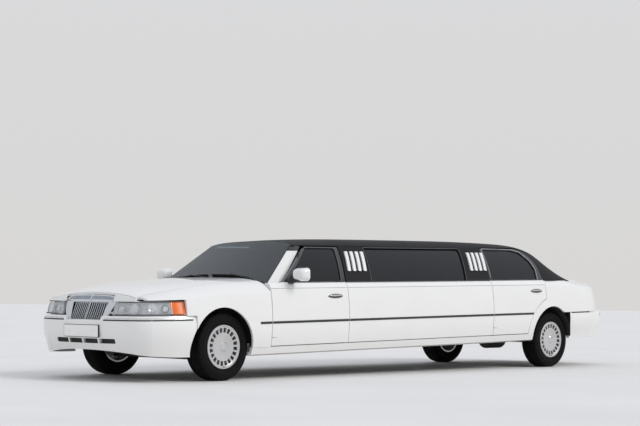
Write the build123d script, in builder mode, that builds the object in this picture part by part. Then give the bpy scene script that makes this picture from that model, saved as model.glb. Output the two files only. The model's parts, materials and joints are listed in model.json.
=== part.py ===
from build123d import *
from math import atan2, cos, degrees, hypot, radians, sin, sqrt
import os

# Stretched four-door saloon, mm. x runs forward, y to the car's left and z up.
# Places on the body are taken from the front axle, level with the body, z from the ground.

# Body size and stance
wheelbase = 5530
front_overhang = 1055
rear_overhang = 1435
wide_y = 985  # half the width at the rubbing strip
rake = 1.06  # degrees, the body sits tail up on its springs
rear_x = -wheelbase
tail_x = rear_x - rear_overhang

# Wheels
wheel_y = wide_y - 185
tyre_radius = 335
tyre_width = 225
rim_radius = 203
rim_width = 190
kingpin_y = wheel_y - 110
steer_reach = hypot(tyre_radius, wheel_y + tyre_width / 2 - kingpin_y) + 8
kingpin_radius = 24
hub_radius = 32
running_clearance = 0.3

# Shut lines and walls
shut_gap = 8
frame_gap = 12
panel_wall = 24
roof_wall = 28
glass_wall = 5
glass_inset = 9
skin_clearance = 0.3

# Body side section
sill_z = 233
sill_y = wide_y - 73
sill_top_z = 318
low_y = wide_y - 23
low_z = sill_top_z + shut_gap
wide_z = 562
shoulder_y = wide_y - 21
shoulder_z = 878
belt_y = wide_y - 60
belt_z = 960
door_inner_y = wide_y - 113
rail_y = wide_y - 317
rail_z = 1352
flank_bow = 16
flank_wall = 28

# Stations along the body
front_door_x = -610
front_door_end_x = -1760
rear_door_x = rear_x + 1240
rear_door_end_x = rear_x + 188
b_pillar_lean = -138
c_pillar_lean = -110
mid_window_x = front_door_end_x - 430
mid_window_end_x = rear_door_x + 454
mid_window_lean = -120
mid_window_end_lean = -150
roof_x = -1252
front_arch_x = 52
front_arch_z = 330
front_arch_radius = 396
rear_arch_x = rear_x + 50
rear_arch_z = 252
rear_arch_radius = 390
door_arc_radius = 505
side_reach = wide_y + 115  # how far the side cuts go out
cut_top_z = 1600

front_axle_x = (wheelbase + rear_overhang - front_overhang) / 2
body = Plane(
    origin=(front_axle_x, 0, 0),
    x_dir=(cos(radians(rake)), 0, -sin(radians(rake))),
    z_dir=(sin(radians(rake)), 0, cos(radians(rake))),
)
body_x, body_y, body_z = body.x_dir, body.y_dir, body.z_dir


def at(x, y, z):
    return body.from_local_coords((x, y, z))


def across(x):
    # upright plane across the car: its own x runs to the left and its y up
    return Plane(origin=at(x, 0, 0), x_dir=body_y, z_dir=body_x)


def side(y):
    # upright plane along the car: its own x runs forward and its y up
    return Plane(origin=at(0, y, 0), x_dir=body_x, z_dir=-body_y)


def level(z):
    # flat plane: its own x runs forward and its y to the left
    return Plane(origin=at(0, 0, z), x_dir=body_x, z_dir=body_z)


def wheel_plane(x, y):
    # upright plane at a wheel, its normal along the axle, not tilted with the body
    return Plane(origin=(front_axle_x + x, y, tyre_radius), x_dir=(1, 0, 0), z_dir=(0, -1, 0))


def flank_wall_lines(low, wide, shoulder, edge, wall, bow):
    # one side wall: sill edge, widest line, shoulder crease, upper edge
    middle = ((shoulder[0] + edge[0]) / 2 + bow, (shoulder[1] + edge[1]) / 2 + bow)
    outer = ThreePointArc(low, wide, shoulder)
    top = ThreePointArc(shoulder, middle, edge)
    inner_shoulder = (shoulder[0] - wall, shoulder[1] - wall * 0.5)
    inner_edge = (edge[0] - wall * 0.3, edge[1] - wall)
    inner_middle = (middle[0] - wall * 0.6, middle[1] - wall * 0.8)
    close = Line(top @ 1, inner_edge)
    under = ThreePointArc(inner_edge, inner_middle, inner_shoulder)
    back = ThreePointArc(inner_shoulder, (wide[0] - wall, wide[1]), (low[0] - wall, low[1]))
    foot = Line(back @ 1, outer @ 0)
    return close, under, foot


def crowned_lines(crown, knee, edge, wall, rim_in, rim_drop):
    # half of a crowned panel: crown at the middle, knee, outer edge, then the cut of its rim
    top = TangentArc((0, crown), knee, tangent=(1, 0))
    corner = TangentArc(knee, edge, tangent=top % 1)
    rim = Line(edge, (edge[0] - rim_in, edge[1] - rim_drop))
    under_knee = (knee[0], knee[1] - wall)
    under = TangentArc((0, crown - wall), under_knee, tangent=(1, 0))
    under_corner = TangentArc(under_knee, rim @ 1, tangent=under % 1)
    middle = Line((0, crown - wall), (0, crown))
    return corner, under_corner, middle


# The greenhouse side leans in from the belt to the roof rail and bows out a little
flank_height = rail_z - belt_z
flank_in = belt_y - rail_y
flank_length = sqrt(flank_height**2 + flank_in**2)
flank_normal = (flank_height / flank_length, flank_in / flank_length)


def greenhouse_point(share, depth):
    # share runs from the belt to the rail, depth inward from the skin
    bow = 4 * share * (1 - share) * flank_bow - depth
    y = belt_y - flank_in * share + flank_normal[0] * bow
    z = belt_z + flank_height * share + flank_normal[1] * bow
    return (y, z)


def greenhouse_lines(outer_depth, inner_depth, low_share=0, high_share=1):
    middle_share = (low_share + high_share) / 2
    outer = ThreePointArc(*[greenhouse_point(s, outer_depth) for s in (low_share, middle_share, high_share)])
    inner = ThreePointArc(*[greenhouse_point(s, inner_depth) for s in (high_share, middle_share, low_share)])
    rail = Line(outer @ 1, inner @ 0)
    belt = Line(inner @ 1, outer @ 0)
    return rail, belt


# Outlines seen from the side, as (x, z)
def lean_x(x, lean, z):
    return x + lean * (z - belt_z) / (rail_z - belt_z)


frame_top_z = rail_z - 14
window_low_z = belt_z + 14
window_top_z = rail_z - 30
pillar_foot_x = -812
pillar_head_x = -1345
pillar_head_z = 1316
rear_frame_curve = (
    (rear_x + 192, 1080),
    (rear_x + 240, 1235),
    (rear_x + 360, 1315),
    (rear_x + 545, frame_top_z),
)


def front_door_outline():
    Polyline(
        (front_door_x, low_z),
        (front_door_x, belt_z),
        (pillar_foot_x, belt_z),
        (pillar_head_x, pillar_head_z),
        (pillar_head_x - 60, frame_top_z),
        (lean_x(front_door_end_x, b_pillar_lean, frame_top_z), frame_top_z),
        (front_door_end_x, belt_z),
        (front_door_end_x, low_z),
        close=True,
    )


def front_window_outline(inset):
    back = front_door_end_x + 62
    FilletPolyline(
        (pillar_foot_x - 66 - 3 * inset, window_low_z + inset),
        (pillar_head_x - 32 - 3 * inset, window_top_z - inset),
        (lean_x(back, b_pillar_lean, window_top_z) + inset, window_top_z - inset),
        (back + inset, window_low_z + inset),
        radius=18 - inset,
        close=True,
    )


def rear_window_side_outline(inset):
    front = rear_door_x - 42 - inset
    low = window_low_z + inset
    top = window_top_z - inset
    FilletPolyline(
        (front, low),
        (lean_x(front, c_pillar_lean, top), top),
        (rear_x + 570 + inset, top),
        (rear_x + 395 + inset, 1288 - inset),
        (rear_x + 294 + inset, 1190),
        (rear_x + 268 + inset, 1090),
        (rear_x + 308 + inset, low),
        radius=18 - inset,
        close=True,
    )


def mid_window_outline(inset):
    low = window_low_z - 6 + inset
    top = window_top_z + 6 - inset
    FilletPolyline(
        (mid_window_x - inset, low),
        (lean_x(mid_window_x, mid_window_lean, top) - inset, top),
        (lean_x(mid_window_end_x, mid_window_end_lean, top) + inset, top),
        (mid_window_end_x + inset, low),
        radius=18 - inset,
        close=True,
    )


def side_slab_lines():
    # door or side panel: the full wall from the inner trim to the skin
    middle = ((shoulder_y + belt_y) / 2 + 6, (shoulder_z + belt_z) / 2 + 6)
    outer = ThreePointArc((low_y, low_z), (wide_y, wide_z), (shoulder_y, shoulder_z))
    upper = ThreePointArc(outer @ 1, middle, (belt_y, belt_z))
    Polyline(upper @ 1, (door_inner_y, belt_z), (door_inner_y, low_z), outer @ 0)


# Door hinges: upright pins that the doors turn on, near their front edges
door_hinge_back = 60
door_hinge_y = wide_y - 20
pin_radius = 5
arm_radius = 7.5
arm_height = 44
pin_reach = 14
pocket_room = 1.5
hinge_levels = (430, 760)
front_hinge = (front_door_x - door_hinge_back, door_hinge_y)
rear_hinge = (rear_door_x - door_hinge_back, door_hinge_y)


def hinge_pockets(spot):
    # room for the two hinge arms, open to the door's front and inner faces, and bores for the pins
    back = spot[0] - arm_radius - pocket_room
    outer = spot[1] + arm_radius + pocket_room
    with BuildPart() as pockets:
        for z in hinge_levels:
            with BuildSketch(level(z - arm_height / 2 - pocket_room)):
                with Locations((back + 50, outer - 60)):
                    Rectangle(100, 120)
            extrude(amount=arm_height + 2 * pocket_room)
            with BuildSketch(level(z - arm_height / 2 - pin_reach - pocket_room)):
                with Locations(spot):
                    Circle(pin_radius + running_clearance)
            extrude(amount=arm_height + 2 * (pin_reach + pocket_room))
    return pockets


# Front doors
door_overlap = -0.04  # the window frame starts a little below the belt
with BuildPart() as front_door_left:
    with BuildSketch(across(front_door_x)):
        with BuildLine():
            side_slab_lines()
        make_face()
    extrude(amount=front_door_end_x - front_door_x)
    with BuildSketch(across(pillar_foot_x)):
        with BuildLine():
            greenhouse_lines(0, flank_wall, door_overlap)
        make_face()
    extrude(amount=front_door_end_x + b_pillar_lean - pillar_foot_x)
    with BuildSketch(side(0)):
        with BuildLine():
            front_door_outline()
        make_face()
    extrude(amount=-side_reach, mode=Mode.INTERSECT)
    with BuildSketch(side(0)):
        with BuildLine():
            front_window_outline(0)
        make_face()
    extrude(amount=-side_reach, mode=Mode.SUBTRACT)
    add(hinge_pockets(front_hinge).part, mode=Mode.SUBTRACT)

# Rear doors, their back edge round the wheel arch
with BuildPart() as rear_door_left:
    with BuildSketch(across(rear_door_x)):
        with BuildLine():
            side_slab_lines()
        make_face()
    extrude(amount=rear_door_end_x - rear_door_x)
    with BuildSketch(across(rear_door_x)):
        with BuildLine():
            greenhouse_lines(0, flank_wall, door_overlap)
        make_face()
    extrude(amount=rear_door_end_x - rear_door_x)
    with BuildSketch(side(0)):
        with BuildLine():
            lower = Polyline(
                (rear_door_end_x, belt_z),
                (rear_door_end_x, low_z),
                (rear_door_x, low_z),
                (rear_door_x, belt_z),
                (lean_x(rear_door_x, c_pillar_lean, frame_top_z), frame_top_z),
                rear_frame_curve[3],
            )
            Spline(rear_frame_curve[3], rear_frame_curve[2], rear_frame_curve[1], rear_frame_curve[0])
            Line(rear_frame_curve[0], lower @ 0)
        make_face()
    extrude(amount=-side_reach, mode=Mode.INTERSECT)
    with BuildSketch(side(0)):
        with Locations((rear_arch_x, rear_arch_z)):
            Circle(door_arc_radius)
    extrude(amount=-side_reach, mode=Mode.SUBTRACT)
    with BuildSketch(side(0)):
        with BuildLine():
            rear_window_side_outline(0)
        make_face()
    extrude(amount=-side_reach, mode=Mode.SUBTRACT)
    add(hinge_pockets(rear_hinge).part, mode=Mode.SUBTRACT)


def side_glass(outline):
    with BuildPart() as pane:
        with BuildSketch(across(pillar_foot_x)):
            with BuildLine():
                greenhouse_lines(glass_inset, glass_inset + glass_wall)
            make_face()
        extrude(amount=rear_door_end_x - pillar_foot_x)
        with BuildSketch(side(0)):
            with BuildLine():
                outline(skin_clearance)
            make_face()
        extrude(amount=-side_reach, mode=Mode.INTERSECT)
    return pane


front_glass_left = side_glass(front_window_outline)
rear_glass_left = side_glass(rear_window_side_outline)
mid_glass_left = side_glass(mid_window_outline)

# Mirrors on the front corners of the front windows
mirror_x = -935
mirror_y = wide_y + 65
mirror_z = 1043
mirror_width = 205
mirror_height = 145
mirror_depth = 105
mirror_corner = 30
mirror_foot_length = 45
with BuildPart() as mirror_left:
    for share, grow in ((0, 0.72), (0.45, 1), (1, 0.96)):
        with BuildSketch(across(mirror_x + mirror_depth * (0.5 - share))):
            with BuildLine():
                half_width = mirror_width * grow / 2
                half_height = mirror_height * grow / 2
                FilletPolyline(
                    (mirror_y - half_width, mirror_z - half_height),
                    (mirror_y + half_width, mirror_z - half_height),
                    (mirror_y + half_width, mirror_z + half_height),
                    (mirror_y - half_width, mirror_z + half_height),
                    radius=mirror_corner * grow,
                    close=True,
                )
            make_face()
    loft(ruled=True)
    with BuildSketch(across(mirror_x + mirror_depth * 0.2)):
        with BuildLine():
            Polyline(
                (belt_y - 6, belt_z - 14),
                (belt_y + 62, mirror_z - 30),
                (belt_y + 112, mirror_z - 10),
                (belt_y + 30, mirror_z - 10),
                (belt_y - 6, belt_z + 14),
                close=True,
            )
        make_face()
    extrude(amount=-mirror_foot_length)
    add(front_door_left.part.moved(Location((body_y + body_z) * skin_clearance)), mode=Mode.SUBTRACT)

# Side panels between the doors, one with the sill that runs from arch to arch
panel_front_x = front_door_end_x - shut_gap
panel_length = rear_door_x + shut_gap - panel_front_x
sill_inner_y = door_inner_y - 28
floor_z = 354
with BuildPart() as side_panels:
    with BuildSketch(across(panel_front_x)):
        with BuildLine():
            side_slab_lines()
        make_face()
    extrude(amount=panel_length)
    with BuildSketch(across(front_arch_x - front_arch_radius + 40)):
        with BuildLine():
            Polyline(
                (sill_inner_y - 44, sill_z),
                (sill_y, sill_z),
                (sill_y + 33, sill_z + 14),
                (low_y, sill_top_z),
                (sill_inner_y, sill_top_z),
                (sill_inner_y, floor_z),
                (sill_inner_y - 44, floor_z),
                close=True,
            )
        make_face()
    extrude(amount=rear_arch_x + rear_arch_radius - front_arch_x + front_arch_radius - 80)
    with BuildSketch(across(panel_front_x)):
        with Locations((door_inner_y + 20, (sill_top_z + low_z) / 2)):
            Rectangle(40, 2 * shut_gap)
    extrude(amount=panel_length)
    with BuildSketch(side(0)):
        with Locations((front_arch_x, front_arch_z)):
            Circle(front_arch_radius)
        with Locations((rear_arch_x, rear_arch_z)):
            Circle(rear_arch_radius)
    extrude(amount=-side_reach, mode=Mode.SUBTRACT)
    with BuildSketch(Plane(origin=(front_axle_x, kingpin_y, 0))):
        Circle(steer_reach)
    extrude(amount=2 * tyre_radius, mode=Mode.SUBTRACT)
    mirror(about=Plane.XZ)

# Pillar pads of the padded roof, between the doors and the fixed windows
pad_proud = -5
pad_top_z = rail_z - skin_clearance


def pad_region(front, front_lean, back, back_lean):
    Polyline(
        (front, belt_z),
        (lean_x(front, front_lean, pad_top_z), pad_top_z),
        (lean_x(back, back_lean, pad_top_z), pad_top_z),
        (back, belt_z),
        close=True,
    )


with BuildPart() as pillar_pads:
    with BuildSketch(across(front_door_end_x)):
        with BuildLine():
            greenhouse_lines(pad_proud, flank_wall, -0.02, 1.01)
        make_face()
    extrude(amount=rear_door_x + c_pillar_lean - front_door_end_x)
    with BuildSketch(side(0)):
        with BuildLine():
            pad_region(
                front_door_end_x - frame_gap, b_pillar_lean, rear_door_x + frame_gap, c_pillar_lean
            )
        make_face()
    extrude(amount=-side_reach, mode=Mode.INTERSECT)
    with BuildSketch(side(0)):
        with BuildLine():
            mid_window_outline(0)
        make_face()
    extrude(amount=-side_reach, mode=Mode.SUBTRACT)
    mirror(about=Plane.XZ)

# Slanted lamp bars, four on each pad
bar_width = 44
bar_pitch = 84.5
bar_low_z = 1080
bar_top_z = 1292
bar_lean = -92
bar_count = 4
bar_proud = 12
bar_starts = (front_door_end_x - 101, rear_door_x + 305)
with BuildPart() as pillar_lamps:
    with BuildSketch(across(front_door_end_x)):
        with BuildLine():
            greenhouse_lines(pad_proud - skin_clearance - bar_proud, pad_proud - skin_clearance, 0.2, 0.95)
        make_face()
    extrude(amount=rear_door_x + c_pillar_lean - front_door_end_x)
    with BuildSketch(side(0)):
        for start in bar_starts:
            for step in range(bar_count):
                front = start - step * bar_pitch
                with BuildLine():
                    FilletPolyline(
                        (front, bar_low_z),
                        (front + bar_lean, bar_top_z),
                        (front + bar_lean - bar_width, bar_top_z),
                        (front - bar_width, bar_low_z),
                        radius=8,
                        close=True,
                    )
                make_face()
    extrude(amount=-side_reach, mode=Mode.INTERSECT)
    mirror(about=Plane.XZ)

# Windscreen, bowed in plan, trimmed to the crown of the cowl and of the roof
screen_low_z = 950
screen_high_z = 1430
screen_slope = -1.42
screen_narrow = -0.505
screen_foot_x = -634
screen_foot_y = wide_y - 182
screen_bow = 64
screen_reach = 11
cowl_front_x = -612
cowl_z = 1004
cowl_knee = (480, 996)
cowl_edge = (wide_y - 187, 962)
head_knee = (430, 1388)
head_edge = (rail_y - 28, rail_z - 8)


def screen_face(z, reach_low, reach_high, extra):
    # plan of the glass at one height
    x = screen_foot_x + screen_slope * (z - screen_low_z)
    half = screen_foot_y + screen_narrow * (z - screen_low_z) + extra
    bow = screen_bow * (half / screen_foot_y) ** 2
    outer = ThreePointArc((x - bow - reach_low, half), (x - reach_low, 0), (x - bow - reach_low, -half))
    inner = ThreePointArc((x - bow - reach_high, -half), (x - reach_high, 0), (x - bow - reach_high, half))
    return Line(outer @ 1, inner @ 0), Line(inner @ 1, outer @ 0)


def screen_block(reach_low, reach_high, extra):
    with BuildPart() as block:
        for z in (screen_low_z, screen_high_z):
            with BuildSketch(level(z)):
                with BuildLine():
                    screen_face(z, reach_low, reach_high, extra)
                make_face()
        loft()
    return block


head_z = 1404
screen_trim_x = (-500, -1700)
with BuildPart() as windshield:
    add(screen_block(0, screen_reach, 0).part)
    with BuildSketch(across(screen_trim_x[0])):
        with BuildLine():
            foot = TangentArc(
                (0, cowl_z + skin_clearance),
                (cowl_knee[0], cowl_knee[1] + skin_clearance),
                tangent=(1, 0),
            )
            corner = TangentArc(foot @ 1, (cowl_edge[0], cowl_edge[1] + skin_clearance), tangent=foot % 1)
            head = TangentArc((0, head_z), head_knee, tangent=(1, 0))
            head_corner = TangentArc(head_knee, head_edge, tangent=head % 1)
            Line(corner @ 1, head_corner @ 1)
            Line((0, cowl_z + skin_clearance), (0, head_z))
        make_face()
        mirror(about=Plane.YZ)
    extrude(amount=screen_trim_x[1] - screen_trim_x[0], mode=Mode.INTERSECT)

# Windscreen pillars, from the hinge posts to the roof: height and plan of each end, y from the widest line
pillar_ends = (
    (belt_z - 6, ((-708, -181), (-790, -115), (-870, -127), (-790, -181))),
    (rail_z - skin_clearance, ((-1249, -378), (-1309, -351), (-1381, -357), (-1327, -378))),
)
with BuildPart() as windshield_frame:
    for z, points in pillar_ends:
        with BuildSketch(level(z)):
            with BuildLine():
                Polyline(*[(x, wide_y + y) for x, y in points], close=True)
            make_face()
    loft()
    mirror(about=Plane.XZ)

# Roof: x, crown, knee y, knee z, edge y
shell_x = rear_x + 540
rim_width = 46
roof_stations = (
    (roof_x, 1400, 430, 1386, rail_y - 40),
    (-1700, 1424, 470, 1407, rail_y),
    (-2990, 1437, 480, 1418, rail_y),
    (rear_x + 930, 1427, 480, 1409, rail_y),
    (shell_x, 1413, 478, 1397, rail_y),
)
with BuildPart() as roof_half:
    for x, crown, knee_y, knee_z, edge_y in roof_stations:
        with BuildSketch(across(x)):
            with BuildLine():
                crowned_lines(crown, (knee_y, knee_z), (edge_y, rail_z), roof_wall, rim_width, 0)
            make_face()
    loft()

# Rear shell: x, crown, knee y, knee z, rail y, rail z, belt y, belt z
shell_stations = (
    (shell_x, 1413, 478, 1397, rail_y, rail_z, belt_y, belt_z),
    (rear_x + 185, 1374, 470, 1358, rail_y - 13, 1316, belt_y, belt_z),
    (rear_x - 70, 1282, 460, 1268, rail_y - 20, 1226, belt_y - 11, belt_z),
    (rear_x - 320, 1124, 470, 1112, rail_y - 6, 1084, belt_y - 49, belt_z),
    (rear_x - 555, 975, 500, 968, rail_y + 22, 955, belt_y - 125, belt_z - 15),
)


def shell_lines(crown, knee, rail, foot, depth, wall):
    top_z = crown - depth
    bulge = ((rail[0] + foot[0]) / 2 + 10, (rail[1] + foot[1]) / 2 + 7)
    top = TangentArc((0, top_z), (knee[0], knee[1] - depth), tangent=(1, 0))
    corner = TangentArc(top @ 1, (rail[0] - depth * 0.8, rail[1] - depth * 0.6), tangent=top % 1)
    flank = ThreePointArc(corner @ 1, (bulge[0] - depth, bulge[1]), (foot[0] - depth, foot[1]))
    base = Line(flank @ 1, (foot[0] - depth - wall, foot[1]))
    inner_rail = (rail[0] - (depth + wall) * 0.8, rail[1] - (depth + wall) * 0.6)
    inner_flank = ThreePointArc(base @ 1, (bulge[0] - depth - wall, bulge[1]), inner_rail)
    under_knee = (knee[0], knee[1] - depth - wall)
    under = TangentArc((0, top_z - wall), under_knee, tangent=(1, 0))
    TangentArc(under_knee, inner_rail, tangent=under % 1)
    Line((0, top_z - wall), (0, top_z))
    return inner_flank


def rear_shell(depth, wall):
    with BuildPart() as shell:
        for x, crown, knee_y, knee_z, y, z, foot_y, foot_z in shell_stations:
            with BuildSketch(across(x)):
                with BuildLine():
                    shell_lines(crown, (knee_y, knee_z), (y, z), (foot_y, foot_z), depth, wall)
                make_face()
        loft()
        mirror(about=Plane.XZ)
    return shell


def rear_window_plan(inset):
    front = rear_x + 135 - inset
    back = rear_x - 532 + inset
    front_half = rail_y - 133 - inset
    back_half = rail_y - 13 - inset
    FilletPolyline(
        (front, front_half),
        (back, back_half),
        (back, -back_half),
        (front, -front_half),
        radius=45 - inset,
        close=True,
    )


rear_cut_z = (900, 1500)
with BuildPart() as roof:
    add(roof_half.part)
    mirror(about=Plane.XZ)
    add(screen_block(-200, screen_reach + skin_clearance, 30).part, mode=Mode.SUBTRACT)
    add(rear_shell(0, roof_wall).part)
    with BuildSketch(level(rear_cut_z[0])):
        with BuildLine():
            rear_window_plan(0)
        make_face()
    extrude(amount=rear_cut_z[1] - rear_cut_z[0], mode=Mode.SUBTRACT)
    with BuildSketch(side(0)):
        with BuildLine():
            pillar = Polyline(
                (rear_frame_curve[0][0] - frame_gap, rear_frame_curve[0][1]),
                (rear_door_end_x - frame_gap, belt_z - 20),
                (shell_x + 90, belt_z - 20),
                (shell_x + 90, frame_top_z + frame_gap),
                (rear_frame_curve[3][0], frame_top_z + frame_gap),
            )
            Spline(
                pillar @ 1,
                (rear_frame_curve[2][0] - frame_gap * 0.6, rear_frame_curve[2][1] + frame_gap),
                (rear_frame_curve[1][0] - frame_gap, rear_frame_curve[1][1] + frame_gap * 0.6),
                pillar @ 0,
            )
        make_face()
    extrude(amount=side_reach, both=True, mode=Mode.SUBTRACT)

with BuildPart() as rear_window:
    add(rear_shell(glass_inset, glass_wall).part)
    with BuildSketch(level(rear_cut_z[0])):
        with BuildLine():
            rear_window_plan(skin_clearance)
        make_face()
    extrude(amount=rear_cut_z[1] - rear_cut_z[0], mode=Mode.INTERSECT)

# Front fenders: x, low, wide and shoulder y from the widest line, shoulder z, edge y, edge z
fender_end_x = front_door_x + shut_gap
fender_low_x = 397  # the bumper takes over ahead of this
bumper_top_z = 652
fender_stations = (
    (fender_end_x, -23, 0, -21, 872, -233, 983),
    (-200, -23, -1, -27, 862, -237, 970),
    (150, -29, -9, -37, 846, -249, 946),
    (480, -55, -33, -63, 816, -293, 905),
    (700, -123, -105, -125, 804, -343, 868),
    (850, -215, -205, -223, 796, -379, 830),
)
with BuildPart() as front_fenders:
    for x, low, wide, shoulder, shoulder_height, edge, edge_height in fender_stations:
        with BuildSketch(across(x)):
            with BuildLine():
                flank_wall_lines(
                    (wide_y + low, sill_top_z),
                    (wide_y + wide, wide_z),
                    (wide_y + shoulder, shoulder_height),
                    (wide_y + edge, edge_height),
                    panel_wall,
                    14,
                )
            make_face()
    loft()
    with BuildSketch(side(0)):
        with Locations((front_arch_x, front_arch_z)):
            Circle(front_arch_radius)
        with BuildLine():
            Polyline(
                (fender_low_x, 200),
                (fender_low_x, bumper_top_z + skin_clearance),
                (1000, bumper_top_z + skin_clearance),
                (1000, 200),
                close=True,
            )
        make_face()
        with BuildLine():
            Polyline((510, bumper_top_z), (510, 808), (1000, 798), (1000, bumper_top_z), close=True)
        make_face()
    extrude(amount=-side_reach, mode=Mode.SUBTRACT)
    mirror(about=Plane.XZ)

# Hood, hinged under the cowl: x, crown, knee y, knee z, edge y from the widest line, edge z
hood_hinge = (-500, 0, 990)
hood_end_x = -600
hood_nose_x = 868
hood_stations = (
    (hood_end_x, 1020, 480, 1011, -233, 983),
    (-200, 1008, 480, 999, -237, 970),
    (150, 985, 475, 976, -249, 947),
    (480, 956, 450, 944, -293, 906),
    (700, 925, 430, 909, -343, 870),
    (hood_nose_x, 882, 400, 862, -385, 828),
)
with BuildPart() as hood:
    for x, crown, knee_y, knee_z, edge, edge_z in hood_stations:
        with BuildSketch(across(x)):
            with BuildLine():
                corner = (wide_y + edge - shut_gap, edge_z)
                crowned_lines(crown, (knee_y, knee_z), corner, panel_wall, 0, panel_wall)
            make_face()
    loft()
    mirror(about=Plane.XZ)


# Plan of the nose, from the left end round to the right, moved in by a distance
def nose_points(inset):
    return (
        (400, wide_y - 32 - inset),
        (700, wide_y - 80 - inset),
        (862 - inset * 0.5, wide_y - 155 - inset * 0.85),
        (935 - inset * 0.8, wide_y - 233 - inset * 0.6),
        (982 - inset, wide_y - 375 - inset * 0.4),
        (front_overhang - inset, 0),
    )


def nose_lines(inset):
    left = nose_points(inset)
    right = [(x, -y) for x, y in left]
    ThreePointArc(left[0], left[1], left[2])
    ThreePointArc(left[2], left[3], left[4])
    ThreePointArc(left[4], left[5], right[4])
    ThreePointArc(right[4], right[3], right[2])
    ThreePointArc(right[2], right[1], right[0])


def nose_band(inset, wall):
    outer = nose_points(inset)[0]
    inner = nose_points(inset + wall)[0]
    nose_lines(inset)
    nose_lines(inset + wall)
    Line(outer, inner)
    Line((outer[0], -outer[1]), (inner[0], -inner[1]))


# Heights and plan of the lamps in the nose
lamp_low_z = 660
lamp_top_z = 792
lamp_wall = 55
lamp_start_y = 405
lamp_end_x = 515
amber_x = 668
lamp_gap = 3


def band_solid(band, levels, wall):
    # a wall that follows a plan outline, from (height, inset) pairs
    with BuildPart() as solid:
        for z, inset in levels:
            with BuildSketch(level(z)):
                with BuildLine():
                    band(inset, wall)
                make_face()
        loft()
    return solid


def plan_window(x_range, y_range):
    # upright block over a part of the plan, on the left
    with BuildPart() as window:
        with BuildSketch(level(sill_z)):
            with Locations((sum(x_range) / 2, sum(y_range) / 2)):
                Rectangle(x_range[1] - x_range[0], y_range[1] - y_range[0])
        extrude(amount=cut_top_z - sill_z)
    return window


# Nose panels between the headlamps and the front edge of the hood, each on a shelf over its lamp
nose_panel_y = (379, 640)
nose_panel_wall = 20
nose_panel_top = ((360, 858), (400, 856), (500, 846), (600, 822), (680, 812))
nose_panel_levels = ((lamp_top_z, 62), (nose_panel_top[0][1] + 2, 81))
nose_shelf_levels = ((lamp_top_z, 62), (lamp_top_z + 6, 62))
nose_shelf_wall = 69
with BuildPart() as fenders_with_noses:
    add(band_solid(nose_band, nose_panel_levels, nose_panel_wall).part)
    add(band_solid(nose_band, nose_shelf_levels, nose_shelf_wall).part)
    add(plan_window((fender_stations[4][0], side_reach), nose_panel_y).part, mode=Mode.INTERSECT)
    with BuildSketch(across(fender_stations[4][0])):
        with BuildLine():
            top_edge = Polyline(*nose_panel_top)
            Polyline(
                top_edge @ 1,
                (nose_panel_top[4][0], cut_top_z),
                (nose_panel_top[0][0], cut_top_z),
                top_edge @ 0,
            )
        make_face()
    extrude(amount=front_overhang, mode=Mode.SUBTRACT)
    mirror(about=Plane.XZ)
    add(front_fenders.part)

# Grille: a leaning shell with upright bars
grille_lean = degrees(atan2(117, 278))
grille_face = Plane(
    origin=at(1012, 0, 598),
    x_dir=body_y,
    z_dir=body_x * cos(radians(grille_lean)) + body_z * sin(radians(grille_lean)),
)
grille_height = 300
grille_top_half = 372
grille_low_half = 262
grille_header = 92
grille_rim = 24
grille_gap = 0.3
grille_depth = 46
bar_spacing = 29.5
bar_width = 13
grille_bars = 17


def grille_outline(grow):
    FilletPolyline(
        (-grille_low_half - grow, -grow),
        (grille_low_half + grow, -grow),
        (grille_low_half + 34 + grow, grille_height - grille_header),
        (grille_top_half + grow, grille_height - grille_header + 16),
        (grille_top_half - 14 + grow, grille_height - 20 + grow),
        (-grille_top_half + 14 - grow, grille_height - 20 + grow),
        (-grille_top_half - grow, grille_height - grille_header + 16),
        (-grille_low_half - 34 - grow, grille_height - grille_header),
        radius=10 + grow,
        close=True,
    )


# Front bumper with its chin, four air slots and a seat for the grille
bumper_wall = 42
front_bumper_levels = ((sill_z + 8, 60), (430, 14), (wide_z + 20, 0), (bumper_top_z, 24))
air_slots = (-339, -113, 113, 339)
with BuildPart() as front_bumper:
    for z, inset in front_bumper_levels:
        with BuildSketch(level(z)):
            with BuildLine():
                nose_band(inset, bumper_wall)
            make_face()
    loft()
    with BuildSketch(across(0)):
        with BuildLine():
            chin = ThreePointArc((-wide_y, sill_z + 3), (0, 323), (wide_y, sill_z + 3))
            Polyline(chin @ 1, (wide_y, 150), (-wide_y, 150), chin @ 0)
        make_face()
    extrude(amount=1200, mode=Mode.SUBTRACT)
    with BuildSketch(across(800)):
        with Locations(*[(y, 409) for y in air_slots]):
            RectangleRounded(208, 46, 8)
    extrude(amount=400, mode=Mode.SUBTRACT)
    with BuildSketch(side(0)):
        with Locations((front_arch_x, front_arch_z)):
            Circle(front_arch_radius)
    extrude(amount=side_reach, both=True, mode=Mode.SUBTRACT)
    with BuildSketch(grille_face):
        with BuildLine():
            grille_outline(grille_gap)
        make_face()
    extrude(amount=120, both=True, mode=Mode.SUBTRACT)

# Grille bars in their shell
with BuildPart() as grille:
    with BuildSketch(grille_face):
        with BuildLine():
            grille_outline(0)
        make_face()
    extrude(amount=-grille_depth)
    with BuildSketch(grille_face):
        with BuildLine():
            FilletPolyline(
                (-grille_low_half + grille_rim, grille_rim),
                (grille_low_half - grille_rim, grille_rim),
                (grille_low_half + 30 - grille_rim, grille_height - grille_header),
                (-grille_low_half - 30 + grille_rim, grille_height - grille_header),
                radius=14,
                close=True,
            )
        make_face()
    extrude(amount=-grille_depth, mode=Mode.SUBTRACT)
    with BuildSketch(grille_face.offset(-grille_depth / 2)):
        with Locations((0, (grille_height - grille_header + grille_rim) / 2)):
            with GridLocations(bar_spacing, 1, grille_bars, 1):
                Rectangle(bar_width, grille_height - grille_header - grille_rim + 8)
    extrude(amount=grille_depth / 2 - 8)


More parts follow.
